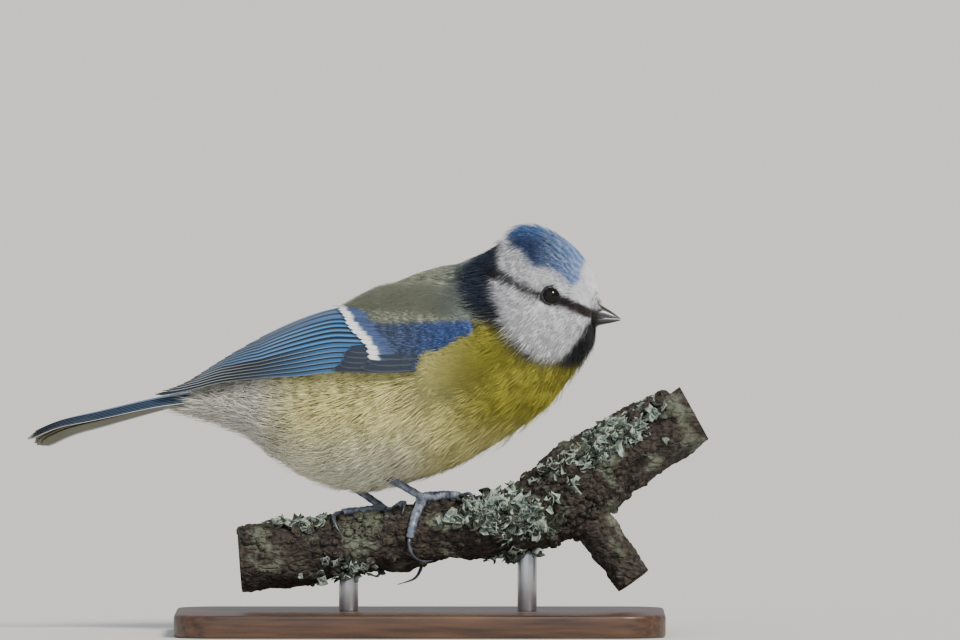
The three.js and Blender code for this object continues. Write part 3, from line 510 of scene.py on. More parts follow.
# The stripe through the eye: x, z, half width
STRIPE = np.array([
    [13.9, 71.0, 1.2], [15.7, 70.1, 0.75], [18.0, 69.0, 0.5], [20.3, 68.0, 0.42], [22.3, 67.0, 0.5],
    [23.9, 66.3, 0.9], [25.6, 66.2, 1.5], [27.6, 65.8, 0.8], [29.4, 64.8, 0.9], [31.2, 63.9, 0.95],
    [33.5, 63.0, 0.7],
])
# Edges between two colours: the mantle's over the flank, and those of the small coverts above and in front
MANTLE_EDGE = np.array([[-46, 49.0], [-30, 53.5], [-15, 57.5], [0, 59.5], [12, 61.0], [20, 61.0]])
WING_TOP_EDGE = np.array([[-20, 61.0], [-14.7, 61.3], [-5, 61.3], [4, 61.6], [10.8, 61.9], [20, 62.5]])
WING_FRONT_EDGE = np.array([[0.4, 51.5], [4.3, 54.9], [8.2, 57.6], [10.7, 60.0], [11.4, 62.5]])
NAVY, NAPE_BLUE, LORE = linear("#0a0f19"), linear("#14233c"), linear("#241d1b")
# The crown's pale is partly paler crown feathers and partly a painted sun highlight.
WHITE, CROWN_BLUE, CROWN_DARK, CROWN_PALE_AND_HIGHLIGHT = map(linear, ("#e4e6ec", "#5780bb", "#1f345c", "#c6d4e8"))
KEEL_GREY = linear("#5b5a52")
MANTLE, MANTLE_BLUE, RUMP = linear("#9ca08b"), linear("#7d898c"), linear("#8a9a8e")
BREAST, FLANK, BELLY, VENT = linear("#a8a233"), linear("#e6df9c"), linear("#efecd2"), linear("#cfcdc1")


def side_view(points):
    c, s = math.cos(BIRD_YAW), math.sin(BIRD_YAW)
    return BIRD_X + c * points[..., 0] + s * np.abs(points[..., 1]), points[..., 2]


def depth_in(x, z, outline):
    """How far inside an outline each place is, less than 0 outside it."""
    line = np.array(outline)
    nearest = np.full(x.shape, 1e9)
    within = np.zeros(x.shape, bool)
    for (ax, az), (bx, bz) in zip(line, np.roll(line, -1, axis=0)):
        t = np.clip(((x - ax) * (bx - ax) + (z - az) * (bz - az)) / ((bx - ax) ** 2 + (bz - az) ** 2), 0, 1)
        nearest = np.minimum(nearest, np.hypot(x - lerp(ax, bx, t), z - lerp(az, bz, t)))
        crosses = (az > z) != (bz > z)
        within ^= crosses & (x < ax + (bx - ax) * (z - az) / np.where(bz == az, 1e-9, bz - az))
    return np.where(within, nearest, -nearest)


def inside(x, z, outline, soft):
    """1 inside an outline and 0 outside it, with an edge of the given softness."""
    return ease(0.5 + depth_in(x, z, outline) / (2 * soft))


def on_stripe(x, z, line, soft):
    """1 on a band along a line whose half width varies."""
    best = np.full(x.shape, -1e9)
    for a, b in zip(line[:-1], line[1:]):
        along = (x - a[0]) * (b[0] - a[0]) + (z - a[1]) * (b[1] - a[1])
        t = np.clip(along / np.sum((b - a)[:2] ** 2), 0, 1)
        away = np.hypot(x - lerp(a[0], b[0], t), z - lerp(a[1], b[1], t))
        best = np.maximum(best, lerp(a[2], b[2], t) - away)
    return ease(0.5 + best / (2 * soft))


def paint(base, colour, mask):
    return base + (np.broadcast_to(colour, base.shape) - base) * np.clip(mask, 0, 1)[..., None]


def streaks(x, z, size):
    """Uneven fine streaks that follow the lie of the crown, from 0 to 1."""
    along, across = x * 0.72 + z * 0.69, x * 0.69 - z * 0.72
    wave = np.sin(along * 4.1 / size + 1.7 * np.sin(across * 0.9))
    wave = wave + np.sin(along * 9.3 / size + across * 1.3)
    return np.clip(0.5 + 0.3 * wave, 0, 1)


def markings(points, shift=0.0):
    """Colour of the coat at points in the bird's frame. shift moves where each is read, to fray edges."""
    x, z = side_view(points)
    x, z = x + shift, z + shift * 0.7
    colour = np.broadcast_to(FLANK, points.shape).copy()
    colour = paint(colour, BELLY, ease((44 - z) / 12) * ease((6 - x) / 12))
    colour = paint(colour, BREAST, ease((x + 2) / 16) * ease((z - 33) / 12))
    colour = paint(colour, BREAST, 0.3 * ease((z - 46) / 6) * ease((x + 22) / 12))
    colour = paint(colour, VENT, ease((-22 - x) / 12))
    keel_line = np.exp(-(points[..., 1] / 1.6) ** 2) * ease((40 - z) / 6)
    colour = paint(colour, KEEL_GREY, 0.6 * keel_line * ease((12 - x) / 6) * ease((x + 20) / 8))
    over = z - np.interp(x, MANTLE_EDGE[:, 0], MANTLE_EDGE[:, 1])
    colour = paint(colour, MANTLE, ease(0.5 + over / 2.5))
    colour = paint(colour, MANTLE_BLUE, ease(0.5 + over / 2.5) * ease((x - 1) / 8) * 0.7)
    colour = paint(colour, RUMP, ease(0.5 + over / 2.5) * ease((-22 - x) / 10))
    dark = inside(x, z, HEAD_PATCH, 0.9)
    colour = paint(colour, NAVY, dark)
    colour = paint(colour, NAPE_BLUE, dark * ease((17 - x) / 4) * ease((z - 60) / 6))
    colour = paint(colour, WHITE, inside(x, z, BROW, 0.6))
    colour = paint(colour, WHITE, inside(x, z, CHEEK, 0.5))
    crown = inside(x, z, CROWN, 0.8)
    colour = paint(colour, CROWN_BLUE, crown)
    colour = paint(colour, CROWN_DARK, crown * ease((28 - x) / 6) * ease((79.5 - z) / 3) * 0.85)
    dark_streaks, pale_and_highlight_streaks = streaks(x, z, 0.7), streaks(x, z + 3, 0.6)
    colour = paint(colour, CROWN_DARK, crown * ease((dark_streaks - 0.45) / 0.3) * ease((31 - x) / 6) * 0.75)
    # Pale streaks towards the crown's front: partly paler crown feathers, partly a painted sun highlight.
    colour = paint(colour, CROWN_PALE_AND_HIGHLIGHT, crown * ease((pale_and_highlight_streaks - 0.5) / 0.3) * ease((x - 21) / 8) * 0.85)
    stripe = on_stripe(x, z, STRIPE, 0.4)
    colour = paint(colour, NAVY, stripe)
    return paint(colour, LORE, stripe * ease((x - 26) / 3))


# Coat

def blade_template(rings):
    """Faces and uvs of one strand: rings of three points, drawn out to a tip."""
    faces, uvs = [(0, 2, 1)], [(0, 0), (0.2, 0), (0, 0.2)]
    for r in range(rings - 1):
        for k in range(3):
            a, b, c, d = r * 3 + k, r * 3 + (k + 1) % 3, (r + 1) * 3 + (k + 1) % 3, (r + 1) * 3 + k
            low, high = r / rings, (r + 1) / rings
            faces += [(a, b, c), (a, c, d)]
            uvs += [(k / 3, low), ((k + 1) / 3, low), ((k + 1) / 3, high)]
            uvs += [(k / 3, low), ((k + 1) / 3, high), (k / 3, high)]
    for k in range(3):
        faces.append((rings * 3 - 3 + k, rings * 3 - 3 + (k + 1) % 3, rings * 3))
        uvs += [(k / 3, 1 - 1 / rings), ((k + 1) / 3, 1 - 1 / rings), ((k + 0.5) / 3, 1)]
    return np.array(faces), np.array(uvs)


SHORT_STEPS, LONG_STEPS = np.array([0.0, 0.5, 1.0]), np.array([0.0, 0.35, 0.7, 1.0])
BARB_RIDGE = 0.35  # height of a strand as a share of its width
PIECE_LIMIT = 190000  # triangles


def blades(name, centres, normal, width, tint, place, painted_root_shade):
    """Closed tapering strands along rows of points, split into pieces of a size that exports whole. place is
    where each lies on the uv map, and the last argument darkens its root as painted shade."""
    count, steps = centres.shape[:2]
    rings = steps - 1
    faces, uvs = blade_template(rings)
    t = np.linspace(0, 1, steps)
    spread = width[:, None] * np.where(t == 1, 0, 0.75 + 0.6 * t - 0.95 * t**2)[None, :]
    along = unit(np.gradient(centres, axis=1))
    across = unit(np.cross(np.broadcast_to(normal[:, None, :], centres.shape), along))
    lift = np.cross(along, across)
    half = across[:, :rings] * spread[:, :rings, None] * 0.5
    ridge = lift[:, :rings] * spread[:, :rings, None] * BARB_RIDGE
    start = centres[:, :rings]
    body = np.stack([start + half, start + ridge, start - half], axis=2)
    points = np.concatenate([body.reshape(count, rings * 3, 3), centres[:, rings:]], axis=1)
    # Painted shade along each strand: darker at its root where the strands lie over each other, a little
    # brighter than its own colour at the tip.
    shaded = tint * lerp(painted_root_shade, 1.1, ease(t * 1.3))[None, :, None]
    shaded = np.concatenate([np.repeat(shaded[:, :rings], 3, axis=1), shaded[:, rings:]], axis=1)
    size = PIECE_LIMIT // len(faces)
    for part in range(math.ceil(count / size)):
        own = slice(part * size, (part + 1) * size)
        number = len(points[own])
        many = (faces[None] + (np.arange(number) * (rings * 3 + 1))[:, None, None]).reshape(-1, 3)
        patch = (place[own, None, :] * 0.99 + uvs[None] * 0.003).reshape(-1, 2)
        piece(f"{name}_{part + 1}", to_stand(points[own].reshape(-1, 3)), many, PLUMAGE,
              np.clip(shaded[own].reshape(-1, 3), 0, 1), patch)


def strands(name, u, angle, length, width, root, tip, fan, tint, steps=SHORT_STEPS, fray=0.2,
            painted_root_shade=0.62):
    """Feather barbs laid over the body. Each starts at station u and an angle, and runs towards the tail;
    root and tip are how far its ends stand from the coat's outer form, and fan turns it upwards on the left.
    tint is a colour for each, or a tone that is multiplied into the markings where its points lie."""
    _, normal, per_station, per_radian = body_frame(u, angle)
    run = length[:, None] * steps[None, :]
    turn = fan[:, None] * (0.5 + 0.5 * steps[None, :])
    at_u = np.clip(u[:, None] - run * np.cos(turn) / per_station[:, None], TAIL_END, LAST)
    at_angle = angle[:, None] + run * np.sin(turn) / per_radian[:, None]
    form = body_point(at_u, at_angle)
    grow = root[:, None] + (tip - root)[:, None] * np.sin(steps * np.pi / 2)[None, :]
    centres = body_point(at_u, at_angle, grow + over_wing(form) * lerp(0.3, 1, steps)[None, :])
    if tint.ndim == 1:
        tint = markings(form, random.normal(0, fray, len(u))[:, None]) * tint[:, None, None]
    else:
        tint = np.broadcast_to(tint[:, None, :], centres.shape)
    place = np.stack([u / LAST, (angle / (2 * np.pi)) % 1], axis=-1)
    blades(name, centres, normal, width, tint, place, painted_root_shade)


def scatter(count, u_range, angle_range):
    """Even places over a stretch of the body: stations and angles, seeded."""
    picks = []
    need = count
    while need > 0:
        u = random.uniform(*u_range, need * 4)
        angle = random.uniform(*angle_range, need * 4)
        _, _, per_station, per_radian = body_frame(u, angle)
        area = per_station * per_radian
        keep = random.uniform(0, np.percentile(area, 98), len(u)) < area
        picks.append(np.stack([u[keep], angle[keep]])[:, :need])
        need -= picks[-1].shape[1]
    return np.concatenate(picks, axis=1)


ON_BODY = WING[:7]  # the rows of the folded wing that lie on the body
WING_OUTLINE = np.concatenate([ON_BODY[:, 0:2], ON_BODY[::-1, 2:4]])


def under_wing(points):
    """True where the folded wing hides the body."""
    return (np.abs(points[..., 1]) > 9) & (depth_in(points[..., 0], points[..., 2], WING_OUTLINE) > 3)


def over_wing(points):
    """How much higher the coat stands where it rises over the folded wing, at its top edge and in front."""
    x, z = points[..., 0], points[..., 2]
    rise = ease(1 + (depth_in(x, z, WING_OUTLINE) + WING_LIP) / WING_RAMP)
    rise = rise * ease((np.abs(points[..., 1]) - 5) / 5)
    top = ease((z - WING_MIDDLE) / 3.5) * ease((x + 22) / 8)
    low = ease((WING_MIDDLE + 2.5 * ease((x - 9) / 3) - z) / 3.5) * ease((x - 1) / 6)
    return WING_RISE * rise * (top + low)


def off_eye(points):
    """True away from both eyes."""
    eye = eye_seat()[0]
    return np.linalg.norm(points * [1, 0, 1] + np.abs(points) * [0, 1, 0] - eye, axis=-1) > EYE["clear"]


def eye_seat():
    """Where the left eye's lids meet the face: point, and outward normal."""
    _, u, angle = body_side(np.array(EYE["x"]), np.array(EYE["z"]))
    return body_frame(u, angle)[:2]


def each_barb(values, barbs):
    """Values for clumps, or for the barbs of clumps, as one row with a value for every barb."""
    return np.broadcast_to(values, (len(values), barbs)).reshape(-1)


def clumps(name, places, barbs, length, width, lift, fan, spread, ruffle, lean=0.0, steps=SHORT_STEPS,
           fray=0.25, painted_root_shade=0.62, tones=0.07):
    """Small body feathers: clumps of barbs that fan out and share a tone. places are stations and angles,
    lift is how far roots and tips stand from the form, lean turns them all, tones is how much they vary."""
    u, angle = places
    points = body_point(u, angle)
    keep = ~under_wing(points) & off_eye(points) & off_bill(points)
    u, angle = u[keep], angle[keep]
    _, _, per_station, per_radian = body_frame(u, angle)
    n = len(u)
    flat = partial(each_barb, barbs=barbs)
    across = np.linspace(-0.5, 0.5, barbs)[None, :] + random.normal(0, 0.06, (n, barbs))
    size = random.uniform(0.75, 1.2, (n, 1))
    many_u = np.clip(u[:, None] + random.uniform(-0.4, 0.4, (n, barbs)) / per_station[:, None], 0, LAST)
    many_angle = angle[:, None] + across * spread * size / per_radian[:, None]
    turn = lean + random.normal(0, 1.4 * tones, (n, 1)) + across * fan + random.normal(0, 0.04, (n, barbs))
    run = size * length * (1 - 0.45 * np.abs(across)) * random.uniform(0.8, 1.1, (n, barbs))
    rise = random.normal(0, 0.1, (n, 1)) + np.abs(random.normal(0, ruffle, (n, 1)))
    rise = rise + random.normal(0, 0.06, (n, barbs))
    tone = random.normal(1, tones, (n, 1)) * random.normal(1, tones, (n, barbs))
    strands(name, flat(many_u), flat(many_angle), length=flat(run),
            width=width * random.uniform(0.7, 1.2, n * barbs), root=np.full(n * barbs, lift[0]),
            tip=lift[1] + flat(rise), fan=flat(turn), tint=flat(tone), steps=steps, fray=fray,
            painted_root_shade=painted_root_shade)


def off_bill(points):
    """True where no feather would start on the bill."""
    x, y, z = points[..., 0], np.abs(points[..., 1]), points[..., 2]
    between = (z > BILL_BARE["low"]) & (z < BILL_BARE["high"])
    return ~((x > BILL_BARE["x"]) & (y < BILL_BARE["y"]) & between)


def skin():
    """One closed skin under the whole coat, carrying the same markings, darkened as painted shade under the
    coat.
    """
    around = np.linspace(0, 2 * np.pi, 128, endpoint=False)
    u, angle = np.meshgrid(np.linspace(TAIL_END, LAST, 200), around, indexing="ij")
    depth = np.where(u > FACE, 0.45, lerp(0.9, 0.45, ease((u - 10) / 3)))
    points = body_point(u, angle, -depth)
    # Painted shade: the markings at 0.8 of their brightness, under the coat.
    colours = markings(body_point(u, angle)) * 0.8
    obj = lathe("skin", to_stand(points), PLUMAGE, colours)
    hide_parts("torso", "neck", "head")


def coat():
    """Patches of body feathers from the vent to the face, each between two stations and two angles."""
    whole, above = (0, 2 * np.pi), (0, np.pi)
    for name, side, half in (("right", 1, (np.pi, 1.5 * np.pi)), ("left", -1, (1.5 * np.pi, 2 * np.pi))):
        clumps(f"coat_belly_{name}", scatter(1050, (-0.6, 9.0), half), 7, length=8.2, width=0.22,
               lift=(-0.8, 0.0), fan=0.5, spread=2.4, ruffle=0.45, lean=0.25 * side, steps=LONG_STEPS)
    clumps("coat_vent", scatter(380, (0.2, 3.6), (np.pi * 1.1, np.pi * 1.9)), 7, length=9.0, width=0.22,
           lift=(-0.8, 0.5), fan=0.6, spread=3.0, ruffle=0.7, steps=LONG_STEPS)
    clumps("coat_breast", scatter(2300, (8.0, 14.2), (np.pi * 0.95, np.pi * 2.05)), 8, length=5.2, width=0.2,
           lift=(-0.7, 0.0), fan=0.5, spread=2.0, ruffle=0.22)
    clumps("coat_back", scatter(2300, (-0.9, 12.4), above), 8, length=4.2, width=0.2,
           lift=(-0.7, -0.1), fan=0.35, spread=2.0, ruffle=0.05)
    clumps("coat_collar", scatter(1400, (11.2, 14.8), whole), 7, length=2.9, width=0.15,
           lift=(-0.5, 0.0), fan=0.35, spread=1.4, ruffle=0.12, fray=0.2)
    clumps("coat_head", scatter(2700, (13.4, 17.4), whole), 7, length=2.2, width=0.12,
           lift=(-0.4, 0.0), fan=0.25, spread=0.9, ruffle=0.1, fray=0.14, painted_root_shade=0.72, tones=0.06)
    clumps("coat_crest", scatter(110, (12.0, 15.8), (np.pi * 0.3, np.pi * 0.7)), 7, length=2.8, width=0.11,
           lift=(-0.3, 0.7), fan=0.5, spread=1.0, ruffle=0.4, fray=0.2)
    clumps("coat_throat", scatter(90, (12.6, 17.6), (np.pi * 1.3, np.pi * 1.7)), 6, length=2.8, width=0.1,
           lift=(-0.3, 0.8), fan=0.6, spread=1.2, ruffle=0.5, fray=0.2)
    clumps("coat_wisps", scatter(200, (0.5, 12.5), (np.pi * 1.15, np.pi * 1.85)), 6, length=5.5, width=0.14,
           lift=(-0.5, 0.55), fan=0.7, spread=2.4, ruffle=0.6, steps=LONG_STEPS)
    clumps("coat_face", scatter(2200, (16.4, 19.0), whole), 6, length=1.5, width=0.095,
           lift=(-0.4, 0.0), fan=0.2, spread=0.6, ruffle=0.07, fray=0.1, painted_root_shade=0.78, tones=0.05)


# Wings

# Half widths of the folded wing's top and low edges, at each row of its table
WING_HALF = np.stack([
    np.maximum(body_side(WING[:, 0], WING[:, 1])[0] + WING_CLEAR, WING[:, 4]),
    np.maximum(body_side(WING[:, 2], WING[:, 3])[0] + WING_CLEAR, WING[:, 5]),
], axis=1)


def sheet_point(s, t):
    """The sheet that the folded wing lies on: station s along it, and t from its top edge to its low edge."""
    row = read(WING, s)
    x = lerp(row[..., 0], row[..., 2], t)
    z = row[..., 3] + (row[..., 1] - row[..., 3]) * np.cos(t * np.pi / 2)
    half = read(WING_HALF, s)
    y = lerp(half[..., 0], half[..., 1], np.sin(t * np.pi / 2))
    return stack(x, np.maximum(y, body_side(x, z)[0] + WING_CLEAR), z)


def wing_point(s, t, lift, side):
    s, t = np.broadcast_arrays(np.asarray(s, float), np.asarray(t, float))
    point = sheet_point(s, t)
    along = sheet_point(s + 0.15, t) - sheet_point(s - 0.15, t)
    across = sheet_point(s, np.minimum(t + 0.04, 1)) - sheet_point(s, np.maximum(t - 0.04, 0))
    normal = unit(np.cross(along, across))
    normal = np.where(normal[..., 1:2] < 0, -normal, normal)
    return (point + normal * np.asarray(lift)[..., None]) * [1, side, 1]


def pile(t):
    """Lift of the folded feathers, from the wing's top edge to its low edge."""
    return lerp(PILE_TOP, PILE_LOW, t)


FLIGHT_ROOT = 3.4  # station where every flight feather starts, under the coverts
# Rows of flight feathers: how many, share of the wing's width, stations of the first and last tip
FLIGHT_ROWS = [
    ("tertial", 3, 0.34, 6.9, 7.6), ("secondary", 5, 0.32, 7.8, 8.7), ("primary", 6, 0.34, 8.8, 9.9),
]


def flight_plan():
    """Each flight feather's row, share of the wing's width where it starts, and tip station."""
    plan, before = [], 0.0
    for row, count, share, first, last in FLIGHT_ROWS:
        plan += [(row, before + share * i / count, lerp(first, last, i / (count - 1))) for i in range(count)]
        before += share
    return plan


FLIGHT = flight_plan()


def seen_edge(number, s):
    """Where feather number comes out from under the one above it, at station s."""
    ended = np.interp(s, [tip for _, _, tip in FLIGHT], [start for _, start, _ in FLIGHT])
    start = FLIGHT[number][1] if number < len(FLIGHT) else 1.0
    return np.clip((start - ended) / (1 - ended), 0.0, 1)


ACROSS = np.linspace(0, 1, 11)
AROUND = np.concatenate([ACROSS, ACROSS[::-1]])


def vane(place, s, low, high, lift, thickness, camber):
    """Closed feather: a grid of stations s by places from its hidden edge, low, to its seen edge, high."""
    t = low[:, None] + (high - low)[:, None] * ACROSS[None, :]
    crown = camber * (1 - (2 * ACROSS - 1) ** 2)[None, :]
    rim = thickness * (0.25 + 0.75 * (1 - np.abs(2 * ACROSS - 1) ** 3))[None, :]
    stations = np.broadcast_to(s[:, None], t.shape)
    top = place(stations, t, lift[:, None] + crown)
    bottom = place(stations, t, lift[:, None] + crown - rim)
    return np.concatenate([top, bottom[:, ::-1]], axis=1)


def join_vanes(name, vanes, colours, material):
    """Many feathers as one mesh, each with its own patch of the uv map."""
    points, faces, uvs, tints = [], [], [], []
    start = 0
    for index, (rings, tint) in enumerate(zip(vanes, colours)):
        count, sides = rings.shape[:2]
        quads, uv = ring_faces(count, sides)
        half = sides // 2
        ends = [start + np.arange(sides), start + (count - 1) * sides + np.arange(sides)]
        for ring, turn in zip(ends, (True, False)):
            for k in range(half - 1):
                quad = [ring[k], ring[k + 1], ring[sides - 2 - k], ring[sides - 1 - k]]
                faces.append(np.array([quad if turn else quad[::-1]]))
                patch = np.array([[k, 0], [k + 1, 0], [k + 1, 1], [k, 1]]) / half * 0.003
                uvs.append(patch + [(index + 0.02) / len(vanes), 0.99])
        faces.append(quads[:, ::-1] + start)
        uv = uv.reshape(-1, 4, 2)[:, ::-1].reshape(-1, 2)
        uvs.append(np.stack([(index + 0.04 + uv[:, 1] * 0.92) / len(vanes), uv[:, 0] * 0.97 + 0.01], axis=-1))
        points.append(rings.reshape(-1, 3))
        tints.append(tint.reshape(-1, 3))
        start += count * sides
    return piece(name, to_stand(np.concatenate(points)), np.concatenate(faces), material,
                 np.clip(np.concatenate(tints), 0, 1), np.concatenate(uvs))


# The first colour is the near black of a feather's own dark web together with painted shadow from the feather
# over it.
DARK_WEB_AND_SHADOW, EDGE_BLUE, EDGE_PALE, TIP_GREY = (linear(c) for c in ("#07090e", "#2c699f", "#a9b6bf", "#242932"))
COVERT_BLUE, COVERT_DARK, BAR_WHITE = linear("#3d5d9c"), linear("#141c28"), linear("#eef0f3")
# The pale blue second colour on the next line is a painted sheen highlight for the secondaries' edges.
COVERT_GREY, EDGE_SHEEN_HIGHLIGHT = linear("#556787"), linear("#6ba3d2")


def flight_colours(q, seen, row):
    """Outer web blue, the web next to the feather above near black, its own dark web with painted shadow from
    that feather, greyer and pale-edged towards the tip, and a painted sheen highlight on the secondaries'
    edges.
    seen runs from 0 at the feather above to 1 at the free edge."""
    q = np.broadcast_to(q[:, None], seen.shape)
    outer = ease((seen - 0.28) / 0.12)
    # The covered side starts near black: the feather's own dark web with painted shadow from the feather
    # above.
    colour = np.broadcast_to(DARK_WEB_AND_SHADOW, q.shape + (3,)).copy()
    if row == "tertial":
        colour = paint(colour, lerp(EDGE_BLUE, COVERT_GREY, 0.45), outer * (1 - 0.55 * ease((q - 0.3) / 0.6)))
        colour = paint(colour, EDGE_PALE, ease((seen - 0.84) / 0.08) * ease((q - 0.45) / 0.3) * 0.5)
        return colour
    if row == "secondary":
        outer = ease((seen - 0.38) / 0.12)
        colour = paint(colour, EDGE_BLUE, outer * (1 - 0.7 * ease((q - 0.55) / 0.45)))
        # Painted sheen highlight: a pale blue band along the middle of the seen edge, fading towards the tip.
        painted_sheen = ease((seen - 0.55) / 0.2) * ease((1 - seen) / 0.2) * ease((0.9 - q) / 0.3)
        colour = paint(colour, EDGE_SHEEN_HIGHLIGHT, 0.5 * painted_sheen)
        return paint(colour, EDGE_PALE, ease((seen - 0.8) / 0.1) * ease((q - 0.35) / 0.35) * 0.7)
    colour = paint(colour, EDGE_BLUE, outer * (1 - ease((q - 0.2) / 0.5)) * 0.9)
    colour = paint(colour, TIP_GREY, ease((q - 0.7) / 0.3) * 0.6 * outer)
    return paint(colour, EDGE_PALE, ease((seen - 0.78) / 0.08) * ease((q - 0.05) / 0.3) * 0.85)


def flight_feathers(side, name):
    on_wing = partial(wing_point, side=side)
    vanes, colours = [], []
    for number, (row, _, tip) in enumerate(FLIGHT):
        q = np.linspace(0, 1, 30)
        s = lerp(FLIGHT_ROOT, tip, q)
        own, end = seen_edge(number, s), seen_edge(number + 1, s)
        hidden = np.clip(own - 0.06, 0.002 * number, 1)
        round_tip = np.sqrt(1 - np.clip((s - tip + 0.38) / 0.38, 0, 0.999) ** 2)
        middle = lerp(hidden, end, 0.55)
        low, high = lerp(middle, hidden, round_tip), lerp(middle, end, round_tip)
        lift = lerp(PILE_TOP, PILE_LOW + 0.25, number / (len(FLIGHT) - 1))
        lift = lift * (1 - 0.5 * ease((s - 7.5) / 2))
        vanes.append(vane(on_wing, s, low, high, lift, thickness=0.12, camber=0.07))
        t = low[:, None] + (high - low)[:, None] * AROUND[None, :]
        colours.append(flight_colours(q, (t - own[:, None]) / np.maximum(end - own, 1e-4)[:, None], row))
    return join_vanes(name, vanes, colours, VANES)


# Rows of stiff coverts: how many, from and to which share of the wing's width, stations of the roots and
# then of the tips at the wing's top and low edge, and rise over the flight feathers
COVERT_ROWS = [
    ("greater", 15, (-0.02, 0.86), (3.4, 2.0), (4.97, 3.3), 0.62),
    ("primary_covert", 5, (0.72, 1.0), (3.1, 2.5), (2.1, 5.05), 0.42),
    ("alula", 3, (0.78, 0.98), (1.9, 1.5), (0.6, 4.1), 0.66),
]


def covert_colours(q, row):
    q, v = np.broadcast_arrays(q[:, None], AROUND[None, :])
    colour = lerp(COVERT_BLUE, COVERT_GREY, 0.5) * 0.7
    colour = np.broadcast_to(colour, q.shape + (3,)) * random.normal(1, 0.06)
    if row == "greater":
        start = random.normal(0.73, 0.02) - 0.07 * np.abs(v - 0.5) + 0.02 * np.sin(v * 23)
        return paint(colour, BAR_WHITE, ease((q - start) / 0.05))
    colour = paint(colour, COVERT_DARK, np.full(q.shape, 0.9))
    return paint(colour, EDGE_PALE, ease((v - 0.86) / 0.08) * 0.2 + ease((q - 0.93) / 0.05) * 0.2)


def coverts(side, name):
    on_wing = partial(wing_point, side=side)
    vanes, colours = [], []
    for row, count, share, roots, tips, rise in COVERT_ROWS:
        for i in range(count):
            t0, t1 = lerp(*share, (i - 0.5) / count), lerp(*share, (i + 1.25) / count)
            middle = (t0 + t1) / 2
            q = np.linspace(0, 1, 16)
            s = lerp(lerp(*roots, middle), lerp(*tips, middle) + random.normal(0, 0.04), q)
            width = np.sqrt(1 - np.clip((q - 0.7) / 0.3, 0, 0.999) ** 2) * lerp(0.8, 1, ease(q / 0.3))
            low, high = np.clip(lerp(middle, t0, width), 0, 1), np.clip(lerp(middle, t1, width), 0, 1)
            lift = pile(middle) + rise - 0.5 * (1 - ease(q / 0.5))
            vanes.append(vane(on_wing, s, low, high, lift, thickness=0.14, camber=0.06))
            colours.append(covert_colours(q, row))
    join_vanes(name, vanes, colours, VANES)


def shoulder_colours(points, shift):
    """Small coverts: blue, greyer towards the bar, with the mantle's colour above, the breast's in front."""
    x, z = side_view(points)
    x, z = x + shift, z + shift * 0.7
    colour = np.broadcast_to(COVERT_BLUE, points.shape).copy()
    colour = paint(colour, COVERT_GREY * 0.8, ease((6 - x) / 12) * 0.85)
    colour = paint(colour, COVERT_DARK, ease((0.35 - streaks(x, z * 1.6, 2.0)) / 0.4) * 0.5)
    above = paint(np.broadcast_to(MANTLE, colour.shape), MANTLE_BLUE, ease((x - 1) / 8) * 0.7)
    colour = paint(colour, above, ease(0.5 + (z - np.interp(x, *WING_TOP_EDGE.T)) / 1.2))
    ahead = x - np.interp(z, *WING_FRONT_EDGE.T[::-1])
    return paint(colour, lerp(BREAST, FLANK, 0.35), ease(0.5 + ahead / 1.5))


def shoulder(side, name):
    """Soft small coverts over the folded arm, in close rows of barbs."""
    count, barbs = 1000, 8
    flat = partial(each_barb, barbs=barbs)
    t = random.uniform(0, 1, count)
    s = random.uniform(0.05, 1, count) * lerp(3.95, 2.35, t)
    across = np.linspace(-0.5, 0.5, barbs)[None, :] + random.normal(0, 0.06, (count, barbs))
    width = np.linalg.norm(sheet_point(s, np.ones(count)) - sheet_point(s, np.zeros(count)), axis=-1)
    spread = 1.5 / np.maximum(width, 3)
    start_s = flat(s[:, None]) + random.normal(0, 0.04, count * barbs)
    start_t = flat(t[:, None] + across * spread[:, None])
    run = flat(random.uniform(0.38, 0.55, (count, 1)) * (1 - 0.4 * np.abs(across)))
    turn = flat(random.normal(0, 0.03, (count, 1)) + across * 0.05)
    at_s = start_s[:, None] + run[:, None] * SHORT_STEPS
    at_t = np.clip(start_t[:, None] + turn[:, None] * SHORT_STEPS, 0.0, 1.0)
    rise = flat(random.normal(0, 0.07, (count, 1))) + random.normal(0, 0.04, count * barbs)
    arch = lerp(0.2, 0.68 + rise[:, None], np.sin(SHORT_STEPS * np.pi / 2))
    lift = pile(at_t) + arch - 0.5 * ease((0.5 - at_s) / 0.5)
    centres = wing_point(np.clip(at_s, 0, 9), at_t, lift, side)
    normal = unit(centres[:, 0] - wing_point(np.clip(at_s[:, 0], 0, 9), at_t[:, 0], lift[:, 0] - 1, side))
    tone = flat(random.normal(1, 0.07, (count, 1))) * random.normal(1, 0.08, count * barbs)
    tint = shoulder_colours(centres, random.normal(0, 0.25, len(centres))[:, None]) * tone[:, None, None]
    thick = 0.24 * random.uniform(0.7, 1.2, len(centres))
    place = np.stack([np.clip(start_s, 0, 5) / 5, np.clip(start_t, 0, 1)], axis=-1)
    blades(name, centres, normal, thick, tint, place, painted_root_shade=0.7)


